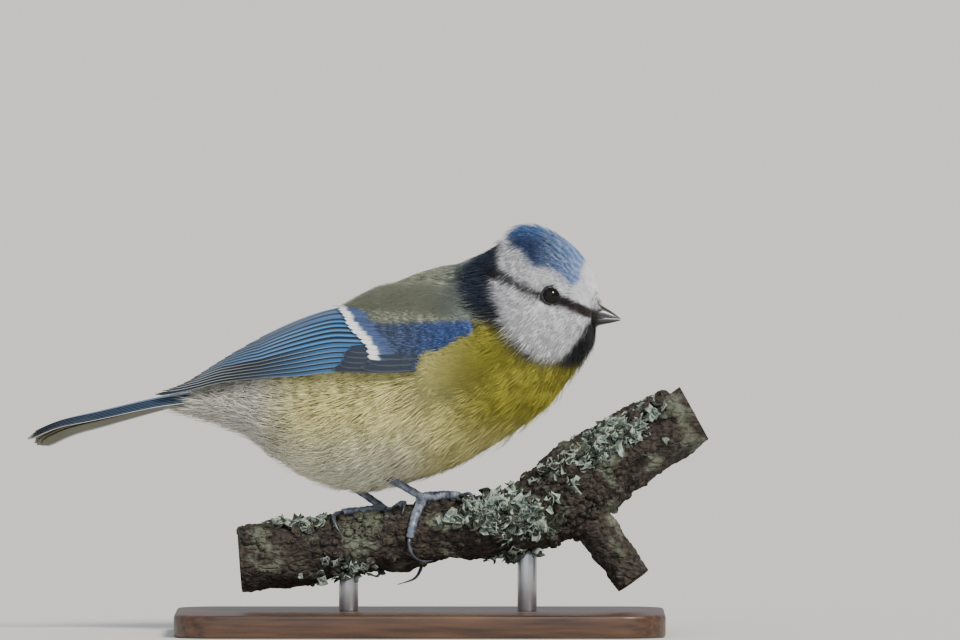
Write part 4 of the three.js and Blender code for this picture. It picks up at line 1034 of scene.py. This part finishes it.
def wing_core(side, name):
    """The folded arm under the coverts, in the coat's colours darkened as painted shade under the coverts."""
    s = np.concatenate([np.linspace(0, 1.2, 8), np.linspace(1.6, 6.8, 14)])
    round_front = lerp(0.3, 1, np.sqrt(1 - (1 - np.clip(s / 1.2, 0, 1)) ** 2))
    across = np.linspace(0.01, 0.99, 20)
    rings = []
    for station, width in zip(s, round_front):
        t = 0.5 + (across - 0.5) * width
        thick = lerp(2.2, 0.5, float(ease((station - 4) / 1.6)))
        outer = wing_point(station, t, pile(t) * width - 0.15, side)
        inner = wing_point(station, t, pile(t) * width - 0.15 - thick, side)
        rings.append(np.concatenate([outer, inner[::-1]]))
    rings = np.array(rings)
    # Painted shade: the small coverts' colours at 0.7 of their brightness, under the coverts.
    lathe(name, to_stand(rings), PLUMAGE, shoulder_colours(rings, 0.0) * 0.7)


def edge_places(count, line, depth, side):
    """Places in a band along a line on the bird's side: stations and angles."""
    line = np.array(line, float)
    k = random.uniform(0, len(line) - 1, count)
    i = np.minimum(k.astype(int), len(line) - 2)
    spot = lerp(line[i], line[i + 1], (k - i)[:, None]) + random.uniform(0, 1, (count, 1)) * np.array(depth)
    _, u, angle = body_side(spot[:, 0], spot[:, 1])
    return u, angle if side > 0 else np.pi - angle


def tucked_in(side, name):
    """Mantle feathers that fall over the wing's top edge, and breast feathers swept over its low front."""
    above = [(14.5, 63.6), (8.0, 64.0), (0.0, 64.0), (-6.5, 64.0), (-12.0, 64.0)]
    clumps(f"scapulars_{name}", edge_places(800, above, (0.0, 5.0), side), 8, length=6.5, width=0.19,
           lift=(-0.5, 0.1), fan=0.4, spread=2.0, ruffle=0.08, lean=-0.35 * side)
    front = [(17.5, 57.5), (15.0, 54.5), (11.5, 52.2), (7.0, 50.8)]
    clumps(f"breast_sweep_{name}", edge_places(480, front, (2.0, -3.0), side), 8, length=5.2, width=0.19,
           lift=(-0.5, 0.1), fan=0.5, spread=2.2, ruffle=0.2, lean=0.35 * side)


def wings():
    for side, name in ((-1, "right"), (1, "left")):
        flight = flight_feathers(side, f"wing_{name}_flight_feathers")
        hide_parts(f"wing_{name}")
        coverts(side, f"wing_{name}_coverts")
        wing_core(side, f"wing_{name}_arm")
        shoulder(side, f"wing_{name}_small_coverts")
        tucked_in(side, name)


# Tail

# The third colour, for the tail's underside, is partly the feathers' own dull colour and partly painted olive
# light bounced up from below.
TAIL_BLUE, TAIL_TIP, TAIL_UNDER_AND_BOUNCE, TAIL_EDGE = map(linear, ("#40587a", "#2c3138", "#67644a", "#b9c2c6"))


def tail_point(q, y, h):
    """A place of the folded tail: share q along its ridge, y to the bird's left and height h."""
    q, y, h = np.broadcast_arrays(q, y, h)
    last = len(TAIL_RIDGE) - 1
    here = read(TAIL_RIDGE, q * last)
    ahead, behind = np.minimum(q + 0.02, 1), np.maximum(q - 0.02, 0)
    along = unit(read(TAIL_RIDGE, ahead * last) - read(TAIL_RIDGE, behind * last))
    up = np.stack([along[..., 1], -along[..., 0]], axis=-1)
    up = np.where(up[..., 1:2] < 0, -up, up)
    roll = TAIL_ROLL * ease(q)
    roof = h - TAIL_LEAN * np.abs(y)
    side = y * np.cos(roll) + roof * np.sin(roll)
    height = roof * np.cos(roll) - y * np.sin(roll)
    return stack(here[..., 0] + up[..., 0] * height, side, here[..., 1] + up[..., 1] * height)


def tail():
    vanes, colours = [], []
    for i, tip in enumerate(TAIL_TIPS):
        for side in (-1, 1):
            q = np.linspace(0, 1, 34)
            s = q * tip
            middle = side * (0.6 + i * lerp(0.3, 0.62, s))
            half = lerp(1.1, 2.1, ease(s * 1.4)) * np.sqrt(1 - np.clip((q - 0.93) / 0.07, 0, 0.999) ** 2)
            inner, outer = middle - side * half, middle + side * half
            lift = np.full(len(s), -i * TAIL_DROP - (TAIL_DROP / 2 if side > 0 else 0))
            vanes.append(vane(tail_point, s, inner, outer, lift, thickness=0.14, camber=0.1))
            grid_q, v = np.broadcast_arrays(q[:, None], AROUND[None, :])
            colour = np.broadcast_to(TAIL_BLUE, grid_q.shape + (3,)).copy()
            # Near black on each feather's covered side: its own dark web with painted shadow from the feather
            # over it.
            colour = paint(colour, DARK_WEB_AND_SHADOW, (1 - ease((v - 0.4) / 0.15)) * 0.85)
            colour = paint(colour, TAIL_TIP, ease((grid_q - 0.7) / 0.3) * 0.6)
            below = np.broadcast_to((np.arange(len(AROUND)) >= len(ACROSS))[None, :], grid_q.shape)
            # Underside: its own dull colour with painted olive bounce light.
            colour = paint(colour, TAIL_UNDER_AND_BOUNCE, below * 0.85)
            if i == len(TAIL_TIPS) - 1:
                colour = paint(colour, TAIL_EDGE, ease((v - 0.8) / 0.1) * 0.9)
            colours.append(colour)
    obj = join_vanes("tail_feathers", vanes, colours, VANES)
    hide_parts("tail")


# Head details

# Bill: x, top, upper half's edge, bottom, half width, from its root
BILL = np.array([
    [33.4, 66.0, 61.9, 60.2, 2.2], [35.6, 65.6, 61.9, 60.4, 2.1], [37.1, 64.9, 62.0, 60.6, 1.75],
    [38.7, 64.0, 62.0, 60.9, 1.25], [40.1, 63.1, 61.95, 61.2, 0.8], [41.0, 62.4, 61.9, 61.45, 0.42],
    [41.5, 62.0, 61.8, 61.6, 0.16],
])


# The last colour is painted shade for the nostril pits.
BILL_HORN, BILL_EDGE, BILL_TIP, NOSTRIL_SHADE = map(linear, ("#26272e", "#5c6068", "#3a3b44", "#050506"))
NOSTRIL_X, NOSTRIL_Z = 37.0, 63.8


def bill_half(name, node_name, upper):
    """One half of the bill, with its nostrils let in and painted near black as shade, and its cutting edge
    drawn pale.
    """
    arch, count = 28, 40
    row = read(BILL, np.linspace(0, len(BILL) - 1, count))
    edge = row[:, 2] + (0.07 if upper else -0.07)
    top = row[:, 1] if upper else row[:, 3]
    angle = np.linspace(0, np.pi, arch)
    up = np.sin(angle) ** 0.85
    outside = np.stack([
        np.broadcast_to(row[:, None, 0], (count, arch)),
        row[:, 4:5] * np.cos(angle)[None, :],
        edge[:, None] + (top - edge)[:, None] * up[None, :],
    ], axis=-1)
    across = np.linspace(-1, 1, 8)[1:-1]
    floor = np.stack([
        np.broadcast_to(row[:, None, 0], (count, len(across))),
        row[:, 4:5] * across[None, :],
        np.broadcast_to(edge[:, None], (count, len(across))),
    ], axis=-1)
    rings = np.concatenate([outside, floor], axis=1)
    if upper:
        for side in (-1, 1):
            away = np.hypot((rings[..., 0] - NOSTRIL_X) / 0.75, (rings[..., 2] - NOSTRIL_Z) / 0.32)
            pit = np.exp(-(away**2) * 1.4) * (np.sign(rings[..., 1]) == side)
            rings[..., 1] -= side * 0.45 * pit
    near_edge = np.exp(-np.abs(rings[..., 2] - edge[:, None]) / 0.18)
    colours = np.broadcast_to(BILL_HORN, rings.shape).copy()
    colours = paint(colours, BILL_EDGE, near_edge * 0.7)
    colours = paint(colours, BILL_TIP, ease((rings[..., 0] - 38.5) / 3) * 0.7)
    if upper:
        # Painted shade: near black in the nostril pits.
        away = np.hypot((rings[..., 0] - NOSTRIL_X) / 0.6, (rings[..., 2] - NOSTRIL_Z) / 0.26)
        colours = paint(colours, NOSTRIL_SHADE, np.exp(-(away**2) * 1.6))
    obj = lathe(name, to_stand(rings), HORN, colours)
    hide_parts(node_name)


TUFT_BROWN, LID_SKIN = linear("#2b2724"), linear("#1a1d26")


def chin_bristles():
    """Stiff dark bristles under the bill."""
    count = 330
    u, angle = random.uniform(13.4, 18.6, count), random.normal(-np.pi / 2, 0.45, count)
    colours = NAVY * random.uniform(0.7, 1.3, (count, 1))
    strands("chin_bristles", u, angle, length=random.uniform(1.6, 3.0, count), width=np.full(count, 0.09),
            root=np.full(count, -0.3), tip=0.2 + 1.8 * random.uniform(0, 1, count) ** 2,
            fan=random.normal(0, 0.35, count), tint=colours)


def bill_tufts():
    """Tufts round the bill's root that point forward over it: white above, brown below."""
    count = 1500
    around = random.uniform(0, 2 * np.pi, count)
    sine, cosine = np.sin(around), np.cos(around)
    high, low = np.maximum(sine, 0), np.maximum(-sine, 0)
    reach = random.uniform(1.0, 2.3, count) * lerp(1.0, 0.55, ease(high * 1.2))
    root_x = 36.1 + 0.35 * sine + random.uniform(-0.8, 0.3, count)
    base = np.stack([root_x, 2.3 * cosine, 63.0 + 3.0 * high - 2.3 * low], axis=-1)
    outwards_by = 0.1 * cosine + random.normal(0, 0.12, count)
    down_by = 0.15 * low - 0.42 * high + random.normal(0, 0.12, count)
    forward = unit(np.stack([np.ones(count), outwards_by, down_by], axis=-1))
    out = np.stack([0 * around, cosine, sine], axis=-1)
    t = SHORT_STEPS[None, :, None]
    bend = 0.3 - 0.45 * t**2 + random.normal(0, 0.1, (count, 1, 1)) * t
    centres = base[:, None, :] + forward[:, None, :] * (reach[:, None, None] * t) + out[:, None, :] * bend
    dark = ease((0.55 - sine) / 0.5)[:, None]
    colours = lerp(WHITE * 0.85, TUFT_BROWN, dark) * random.uniform(0.6, 1.2, (count, 1))
    place = np.stack([np.full(count, 0.97), around / (2 * np.pi) % 1], axis=-1)
    blades("bill_tufts", centres, out, random.uniform(0.07, 0.12, count), colours[:, None, :] + 0 * centres,
           place, painted_root_shade=0.8)


def eyes():
    """Eyeballs, each with its rim of bare skin."""
    point, normal = eye_seat()
    for side, name in ((-1, "right"), (1, "left")):
        mirror = np.array([1, side, 1])
        seat, out = point * mirror, normal * mirror
        across = unit(np.cross(out, [0, 0, 1.0]))
        up = np.cross(across, out)
        turn = np.linspace(0, 2 * np.pi, 48, endpoint=False)[:, None]
        tilt = np.linspace(-0.5 * np.pi + 0.04, 0.5 * np.pi - 0.04, 30)[:, None, None]
        shell = np.cos(tilt) * (np.cos(turn) * across + np.sin(turn) * up) + np.sin(tilt) * out
        shell = seat - out * EYE["depth"] + EYE["radius"] * shell
        ball = lathe(f"eyeball_{name}", to_stand(shell), EYE_WET)
        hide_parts(f"eye_{name}")
        eyelids(f"eyelids_{name}", seat, out, across, up)


def eyelids(name, seat, out, across, up):
    """A thin, uneven, slightly oval rim of bare skin."""
    around = np.linspace(0, 2 * np.pi, 60, endpoint=False)
    wave = 1 + 0.03 * np.sin(around * 13) + 0.02 * np.sin(around * 7 + 1)
    oval = np.cos(around)[:, None] * across * 1.04 + np.sin(around)[:, None] * up * 0.96
    ring = EYE["lids"] * wave[:, None] * oval
    section = np.linspace(0, 2 * np.pi, 10, endpoint=False)[None, :, None]
    tube = np.cos(section) * unit(ring)[:, None, :] + np.sin(section) * out
    thick = 0.27 * (1 + 0.12 * np.sin(around * 17))[:, None, None]
    rim = (seat - out * 0.42 + ring)[:, None, :] + thick * tube
    rows, sides = rim.shape[:2]
    faces, uvs = ring_faces(rows + 1, sides)
    lid = piece(name, to_stand(rim.reshape(-1, 3)), faces % (rows * sides), PLUMAGE,
                np.broadcast_to(LID_SKIN, (rows * sides, 3)), uvs * 0.98 + 0.01)
    outwards(lid)


def outwards(obj):
    mesh = bmesh.new()
    mesh.from_mesh(obj.data)
    bmesh.ops.recalc_face_normals(mesh, faces=mesh.faces)
    mesh.to_mesh(obj.data)
    mesh.free()


# Branch

BRANCH_LINE = BRANCH[:, :3]
CUT_PALE, CUT_RING, CUT_HEART, CUT_RIM = map(linear, ("#a58a64", "#806443", "#66492f", "#2c2119"))


def bark_radius(u, angle):
    knots = 0.05 * np.sin(3 * angle + 1.7 * u) * np.sin(1.3 * u + 0.4)
    return read(BRANCH, u)[..., 3] * (1 + knots + 0.035 * np.sin(5 * angle - 2.3 * u))


def bark_point(u, degrees, lift=0.0):
    """A point on the bark, in the stand's frame: the angle runs from the top towards -Y."""
    u, angle = np.broadcast_arrays(np.asarray(u, float), np.radians(degrees))
    along = unit(read(BRANCH_LINE, u + 0.05) - read(BRANCH_LINE, u - 0.05))
    over = unit(stack(-along[..., 2], 0 * along[..., 0], along[..., 0]))
    out = over * np.cos(angle)[..., None] + np.array([0, -1.0, 0]) * np.sin(angle)[..., None]
    return read(BRANCH_LINE, u) + (bark_radius(u, angle) + lift)[..., None] * out


def roughened(rings, line, seed):
    """Bark with knobs about 4.5 mm wide and crumbs about 1 mm wide. rings and line are in millimetres."""
    rough = []
    for p in rings.reshape(-1, 3):
        knobs = noise.fractal(Vector(p / 4.5455 + seed), 1.0, 2.0, 4)
        crumbs = abs(noise.noise(Vector(p / 1.1111 + seed)))
        rough.append(0.55 * knobs + 0.35 * crumbs)
    rough = np.reshape(rough, rings.shape[:-1])
    return rings + unit(rings - line) * (rough - 0.25)[..., None]


def cut_face(rim, out, name):
    """A sawn end with year rings and a bark rim: a thin disc let in to the end of the branch."""
    middle = rim.mean(axis=0)
    shares = np.linspace(0.95, 0.04, 22)
    grid = middle + (rim - middle)[None] * shares[:, None, None] + unit(out) * 0.06
    year = 0.5 + 0.5 * np.sin(shares * 34)
    colour = paint(np.broadcast_to(CUT_PALE, (len(shares), 3)), CUT_RING, year * 0.6)
    colour = paint(colour, CUT_HEART, ease((0.35 - shares) / 0.3) * 0.6)
    colour = paint(colour, CUT_RIM, ease((shares - 0.88) / 0.04))
    rows = np.concatenate([grid, (grid - unit(out) * 0.3)[::-1]])
    tints = np.concatenate([colour, colour[::-1]])
    lathe(name, rows * MM, SAWN_WOOD, np.broadcast_to(tints[:, None, :], rows.shape).copy())


def branch():
    """The perch and its side shoot, sawn off at the far ends."""
    around = np.linspace(0, 360, 112, endpoint=False)
    u, degrees = np.meshgrid(np.linspace(0, len(BRANCH) - 1, 330), around, indexing="ij")
    axis = read(BRANCH_LINE, u)
    points = roughened(bark_point(u, degrees), axis, 3.1)
    main = lathe("bark_branch", points * MM, BARK)
    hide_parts("perch_branch")
    cut_face(points[0], axis[0, 0] - axis[1, 0], "sawn_end_low")
    cut_face(points[-1], axis[-1, 0] - axis[-2, 0], "sawn_end_high")
    line = read(SHOOT, np.linspace(0, len(SHOOT) - 1, 90))
    rings = roughened(bar(line[:, :3], line[:, 3], 72), line[:, None, :3], 8.4)
    lathe("bark_side_shoot", rings * MM, BARK)
    cut_face(rings[-1], line[-1, :3] - line[-2, :3], "sawn_end_shoot")


# Stretches of bark that carry lichen: kind, station, angle, spread along in stations and round in degrees,
# how many, smallest and largest size
LICHEN_BEDS = [
    ("leaf", 0.9, -15, 0.5, 40, 60, 0.5, 1.3), ("leaf", 1.9, 10, 0.5, 40, 50, 0.5, 1.3),
    ("leaf", 6.3, 60, 0.9, 35, 150, 0.5, 1.4), ("leaf", 7.0, 95, 0.6, 30, 60, 0.5, 1.3),
    ("leaf", 9.0, 10, 1.1, 60, 170, 0.5, 1.4), ("leaf", 10.3, 40, 1.0, 45, 150, 0.5, 1.3),
    ("leaf", 11.6, 0, 0.7, 60, 110, 0.5, 1.3), ("leaf", 6.8, 170, 0.5, 40, 50, 0.5, 1.2),
    ("leaf", 2.6, 130, 0.8, 40, 45, 0.5, 1.2), ("leaf", 4.9, -60, 1.0, 40, 60, 0.5, 1.3),
    ("leaf", 8.2, -80, 1.2, 40, 90, 0.5, 1.3),
    ("strap", 6.0, 70, 0.8, 25, 40, 1.1, 2.2), ("strap", 7.6, 85, 0.7, 30, 30, 1.1, 2.2),
    ("strap", 10.6, 60, 1.0, 30, 30, 1.0, 1.9),
    ("knob", 8.9, -5, 0.45, 25, 45, 1.2, 2.4), ("knob", 8.4, -5, 0.5, 35, 90, 0.6, 1.7),
    ("knob", 9.6, 0, 0.6, 45, 100, 0.6, 1.6), ("knob", 11.4, 0, 0.9, 50, 120, 0.5, 1.5),
    ("knob", 0.5, 0, 0.4, 60, 70, 0.5, 1.3),
    ("knob", 3.0, 40, 2.0, 90, 200, 0.3, 1.0), ("knob", 8.5, 100, 2.0, 80, 260, 0.3, 1.1),
]
LOBE_ROWS, LOBE_TURNS = 3, 8
DARK_LOBES = 0.35  # share of them
# Profile of a knob from its foot to its top: radius and height, as shares of its size
KNOB = np.array([[1.0, -0.5], [1.05, 0.2], [0.75, 0.65], [0.3, 0.85]])


def lobe(kind, base, out, size):
    """Rings of one closed lobe: a cupped and notched plate, a longer strap, or a crusty knob."""
    lean = unit(out + random.normal(0, 0.2 if kind == "knob" else 0.45, 3))
    side = unit(np.cross(lean, random.normal(0, 1, 3)))
    other = np.cross(lean, side)
    turn = np.arange(LOBE_TURNS) * 2 * np.pi / LOBE_TURNS
    notch = 1 + 0.3 * np.sin(turn * random.integers(3, 5) + random.uniform(0, 6))
    notch = notch + random.normal(0, 0.12, LOBE_TURNS)
    if kind == "knob":
        reach, height = (KNOB[:, k, None] * size * (1 + 0.4 * (notch - 1))[None, :] for k in (0, 1))
        long = 1.0
    else:
        share = np.linspace(0.12, 1, LOBE_ROWS)[:, None]
        reach = share * size * notch[None, :]
        wave = 1 + 0.5 * np.sin(turn * 3 + random.uniform(0, 6))
        height = share**2 * size * random.uniform(0.1, 0.7) * wave[None, :]
        long = 0.45 if kind == "strap" else 1.0
    around = np.cos(turn)[:, None] * side * long + np.sin(turn)[:, None] * other
    sheet = base + around * reach[..., None] + lean * height[..., None]
    return sheet if kind == "knob" else np.concatenate([sheet, (sheet - lean * 0.16)[::-1]])


def lichen():
    """Lobes and knobs set in beds on the bark, joined by finish."""
    grown = {"lichen_lobes": [], "lichen_lobes_dark": [], "bark_knobs": []}
    for kind, station, degrees, spread, span, count, small, large in LICHEN_BEDS:
        for _ in range(count):
            u = np.clip(random.normal(station, spread * 0.5), 0.1, len(BRANCH) - 1.1)
            base = bark_point(u, random.normal(degrees, span * 0.5), -0.1 if kind == "knob" else 0.25)
            rings = lobe(kind, base, unit(base - read(BRANCH_LINE, u)), random.uniform(small, large))
            dark = random.uniform() < DARK_LOBES
            leaves = "lichen_lobes_dark" if dark else "lichen_lobes"
            grown["bark_knobs" if kind == "knob" else leaves].append(rings)
    join_lobes("lichen_lobes", grown["lichen_lobes"], LICHEN)
    join_lobes("lichen_lobes_dark", grown["lichen_lobes_dark"], LICHEN_DARK)
    join_lobes("bark_knobs", grown["bark_knobs"], BARK)


def join_lobes(name, lobes, material):
    """Many lobes as one mesh of quads, each with its own patch of the uv map."""
    points, faces, uvs = [], [], []
    start = 0
    for index, rings in enumerate(lobes):
        patch = np.array([0.02 * (index % 48), 0.02 * (index // 48)])
        quads, uv = ring_faces(len(rings), LOBE_TURNS)
        faces.append(quads + start)
        uvs.append(uv * 0.018 + patch)
        for first, flip in ((0, True), ((len(rings) - 1) * LOBE_TURNS, False)):
            for k in range(1, LOBE_TURNS - 1, 2):
                quad = [start + first + corner for corner in (0, k, k + 1, k + 2)]
                faces.append(np.array([quad[::-1] if flip else quad]))
                uvs.append(np.array([[0, 0], [1, 0], [1, 1], [0, 1]]) * 0.001 + patch)
        points.append(rings.reshape(-1, 3))
        start += len(rings) * LOBE_TURNS
    obj = piece(name, np.concatenate(points) * MM, np.concatenate(faces), material, None,
                np.concatenate(uvs))
    outwards(obj)


# Legs and feet

# Each foot: the tarsus' lower joint as station, angle and lift on the bark, its upper joint and the thigh in
# millimetres, and for each toe the places of its pad and of its claw on the bark, as station and angle
FEET = {
    "right": {
        "joint": (4.78, 13, 1.25), "ankle": (-10.6, -8.3, 33.4), "thigh": (-14.2, -8.6, 36.6),
        "toes": {
            "hallux": ([(4.72, -8), (4.7, -38), (4.64, -72), (4.52, -106)], None),
            "inner": ([(4.9, 2), (5.15, -16), (5.38, -36), (5.52, -56)],
                      [(5.57, -64), (5.62, -80), (5.6, -98), (5.5, -112)]),
            "middle": ([(4.95, 12), (5.15, 10), (5.38, 14), (5.58, 20)],
                       [(5.66, 23), (5.82, 30), (5.92, 42), (5.92, 56)]),
            "outer": ([(4.72, 20), (4.58, 42), (4.42, 66), (4.25, 88)],
                      [(4.2, 97), (4.22, 114), (4.38, 130), (4.66, 142)]),
        },
    },
    "left": {
        "joint": (3.82, -40, 1.25), "ankle": (-19.3, 7.6, 33.0), "thigh": (-22.0, 8.4, 37.0),
        "toes": {
            "hallux": ([(3.72, -34), (3.4, -20), (3.05, -6), (2.72, 8)],
                       [(2.6, 15), (2.5, 32), (2.52, 50), (2.64, 66)]),
            "inner": ([(3.94, -36), (4.08, -27), (4.2, -16), (4.28, -4)],
                      [(4.31, 3), (4.33, 14), (4.28, 27), (4.18, 38)]),
            "middle": ([(3.98, -48), (4.16, -64), (4.24, -86), (4.2, -108)],
                       [(4.18, -117), (4.2, -133), (4.1, -149), (3.96, -160)]),
            "outer": ([(3.8, -54), (3.76, -78), (3.66, -100), (3.52, -120)],
                      [(3.48, -129), (3.42, -144), (3.34, -158), (3.2, -170)]),
        },
    },
}
# The right hind claw hangs free under the bark: x, y, z in millimetres
HANGING_CLAW = np.array([[0.4, 4.0, 14.6], [0.1, 2.4, 12.6], [-1.2, 0.8, 10.8], [-4.4, -0.2, 9.7]])
CLAW_LIFTS = np.array([0.9, 1.5, 1.25, 0.45])  # of a gripping claw over the bark, from its root to its tip
CLAW_STEPS = np.linspace(0, len(CLAW_LIFTS) - 1, 24)
SHIN_DOWN = linear("#a9a68c")


def over_bark(places, count, lifts):
    k = np.linspace(0, len(places) - 1, count)
    place = read(np.array(places, float), k)
    return bark_point(place[:, 0], place[:, 1], lifts)


def scuted(points, root, tip, scutes, raised):
    """Points and radii of a bar with overlapping horny plates."""
    count = scutes * 6 + 1
    q = np.linspace(0, 1, count)
    line = read(points, q * (len(points) - 1))
    within = (q * scutes) % 1.0
    step = raised * np.clip(within / 0.8, 0, 1) ** 1.5 * (within < 0.97)
    pad = 0.06 * np.sin(q * np.pi * 3) ** 2
    return line, lerp(root, tip, q) + step + pad


def legs():
    for side, foot in FEET.items():
        joint = bark_point(*foot["joint"])
        ankle, thigh = np.array(foot["ankle"]), np.array(foot["thigh"])
        line, radii = scuted(np.array([ankle, lerp(ankle, joint, 0.5), joint]), 0.95, 0.78, 8, 0.09)
        shank = lathe(f"tarsus_{side}", bar(line, radii, 18, 0.8) * MM, SCUTES)
        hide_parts(f"leg_{side}")
        upper = bar(lerp(thigh, ankle, np.linspace(0, 1, 8)[:, None]), np.linspace(2.2, 1.0, 8), 18)
        lathe(f"shin_{side}", upper * MM, PLUMAGE, np.broadcast_to(SHIN_DOWN, upper.shape))
        for digit, (pad, nail) in foot["toes"].items():
            path = np.concatenate([[joint], over_bark(pad, 7, 0.72)])
            line, radii = scuted(path, 0.92, 0.7, 9, 0.1)
            toe = lathe(f"toe_{side}_{digit}", bar(line, radii, 16) * MM, SCUTES)
            if digit == "hallux":
                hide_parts(f"foot_{side}")
            if nail:
                hook = over_bark(nail, len(CLAW_STEPS), read(CLAW_LIFTS, CLAW_STEPS))
            else:
                hook = read(HANGING_CLAW, CLAW_STEPS)
            start = line[-1] - unit(line[-1] - line[-4]) * 0.3
            hook = np.concatenate([[start], hook])
            taper = lerp(0.56, 0.07, np.linspace(0, 1, len(hook)) ** 1.2)
            claw = lathe(f"nail_{side}_{digit}", bar(hook, taper, 14, 0.75) * MM, CLAW_HORN)
            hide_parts(f"claw_{side}_{digit}")


# Stand

CORNER_ROUND, BOARD_EDGE, ROD_EDGE = 9.0, 0.6, 0.2  # radii in millimetres
ROD_PAST_LOW, ROD_PAST_TOP = 0.3, 2.7  # how far a rod goes into the board and into the bark


def bevel_edges(obj, width, segments):
    """Rounds every sharp edge."""
    bevel = obj.modifiers.new("edges", "BEVEL")
    bevel.width, bevel.segments, bevel.limit_method = width * MM, segments, "ANGLE"
    bpy.ops.object.modifier_apply(modifier="edges")


def settle(obj, material):
    """Gives a modelled piece its finish and its smooth shading, and sets it on the stand."""
    obj.data.materials.clear()
    obj.data.materials.append(material)
    bpy.ops.object.shade_smooth_by_angle(angle=math.radians(35))
    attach(obj, "root")
    bpy.ops.object.select_all(action="DESELECT")


def stand_board():
    """The base: a board with rounded corners and softened edges."""
    low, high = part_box("stand_base")
    bpy.ops.mesh.primitive_cube_add(size=1, location=(low + high) / 2)
    board = bpy.context.object
    board.name = "stand_board"
    board.scale = high - low
    bpy.ops.object.transform_apply(location=True, rotation=True, scale=True)
    bpy.ops.object.mode_set(mode="EDIT")
    bpy.ops.mesh.select_mode(type="EDGE")
    bpy.ops.mesh.select_all(action="DESELECT")
    bpy.ops.object.mode_set(mode="OBJECT")
    for edge in board.data.edges:
        a, b = (board.data.vertices[i].co for i in edge.vertices)
        edge.select = abs(a.z - b.z) > MM
    bpy.ops.object.mode_set(mode="EDIT")
    bpy.ops.mesh.bevel(offset=CORNER_ROUND * MM, segments=12)
    bpy.ops.object.mode_set(mode="OBJECT")
    bevel_edges(board, BOARD_EDGE, 3)
    settle(board, STAINED_WOOD)
    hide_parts("stand_base")


def stand_rod(number):
    """One turned steel rod."""
    low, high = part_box(f"stand_rod_{number}")
    middle = (low + high) / 2
    bpy.ops.mesh.primitive_cylinder_add(
        vertices=48,
        radius=(high.x - low.x) / 2,
        depth=high.z - low.z + (ROD_PAST_LOW + ROD_PAST_TOP) * MM,
        location=(middle.x, middle.y, middle.z + (ROD_PAST_TOP - ROD_PAST_LOW) / 2 * MM),
    )
    rod = bpy.context.object
    rod.name = f"steel_rod_{number}"
    rod.data.uv_layers.active.name = "OFBake"
    bpy.ops.object.transform_apply(location=True, rotation=True, scale=True)
    bevel_edges(rod, ROD_EDGE, 2)
    settle(rod, STEEL)
    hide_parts(f"stand_rod_{number}")


# Floor, light and camera

# Lights: tilt and turn in degrees, strength, spread in degrees, colour
LIGHTS = {
    "key": (40, 30, 3.8, 16, "#fff6e8"),
    "fill": (62, -35, 0.6, 60, "#eaf1ff"),
}
ROOM_COLOUR, ROOM_STRENGTH = "#e4e8ee", 0.68


def studio():
    """A pale floor, a soft room, a warm low sun and a cool fill."""
    bpy.ops.mesh.primitive_circle_add(vertices=64, radius=120, fill_type="NGON", location=(0, 0, 0))
    floor = bpy.context.object
    floor.name = "floor"
    floor.data.materials.append(finish("pale_matt_floor", roughness=0.9, base_color=rgba("#d9d9d6"))[0])
    world = bpy.data.worlds.new("soft_room")
    bpy.context.scene.world = world
    world.use_nodes = True
    room = world.node_tree.nodes["Background"]
    room.inputs["Color"].default_value = rgba(ROOM_COLOUR)
    room.inputs["Strength"].default_value = ROOM_STRENGTH
    for name, (tilt, turn, power, spread, tint) in LIGHTS.items():
        light = bpy.data.lights.new(name, "SUN")
        light.energy, light.angle, light.color = power, math.radians(spread), tuple(linear(tint))
        obj = bpy.data.objects.new(name, light)
        obj.rotation_euler = (math.radians(tilt), math.radians(turn), 0)
        bpy.context.scene.collection.objects.link(obj)


def camera():
    lens = bpy.data.cameras.new("camera")
    lens.sensor_width = CAMERA["sensor"]
    lens.lens = CAMERA["sensor"] * CAMERA["distance"] / CAMERA["view_width"]
    lens.clip_start, lens.clip_end = 0.1, 400
    eye = bpy.data.objects.new("camera", lens)
    rise = math.radians(CAMERA["elevation"])
    target = Vector(CAMERA["target"]) * MM
    eye.location = target + Vector((0, -math.cos(rise), math.sin(rise))) * CAMERA["distance"] * MM
    eye.rotation_euler = (math.pi / 2 - rise, 0, 0)
    bpy.context.scene.collection.objects.link(eye)
    bpy.context.scene.camera = eye


camera()
studio()
skin()
coat()
wings()
tail()
bill_half("bill_top_half", "bill_upper", True)
bill_half("bill_low_half", "bill_lower", False)
chin_bristles()
bill_tufts()
eyes()
branch()
lichen()
legs()
stand_board()
for number in (1, 2):
    stand_rod(number)

bpy.context.view_layer.update()
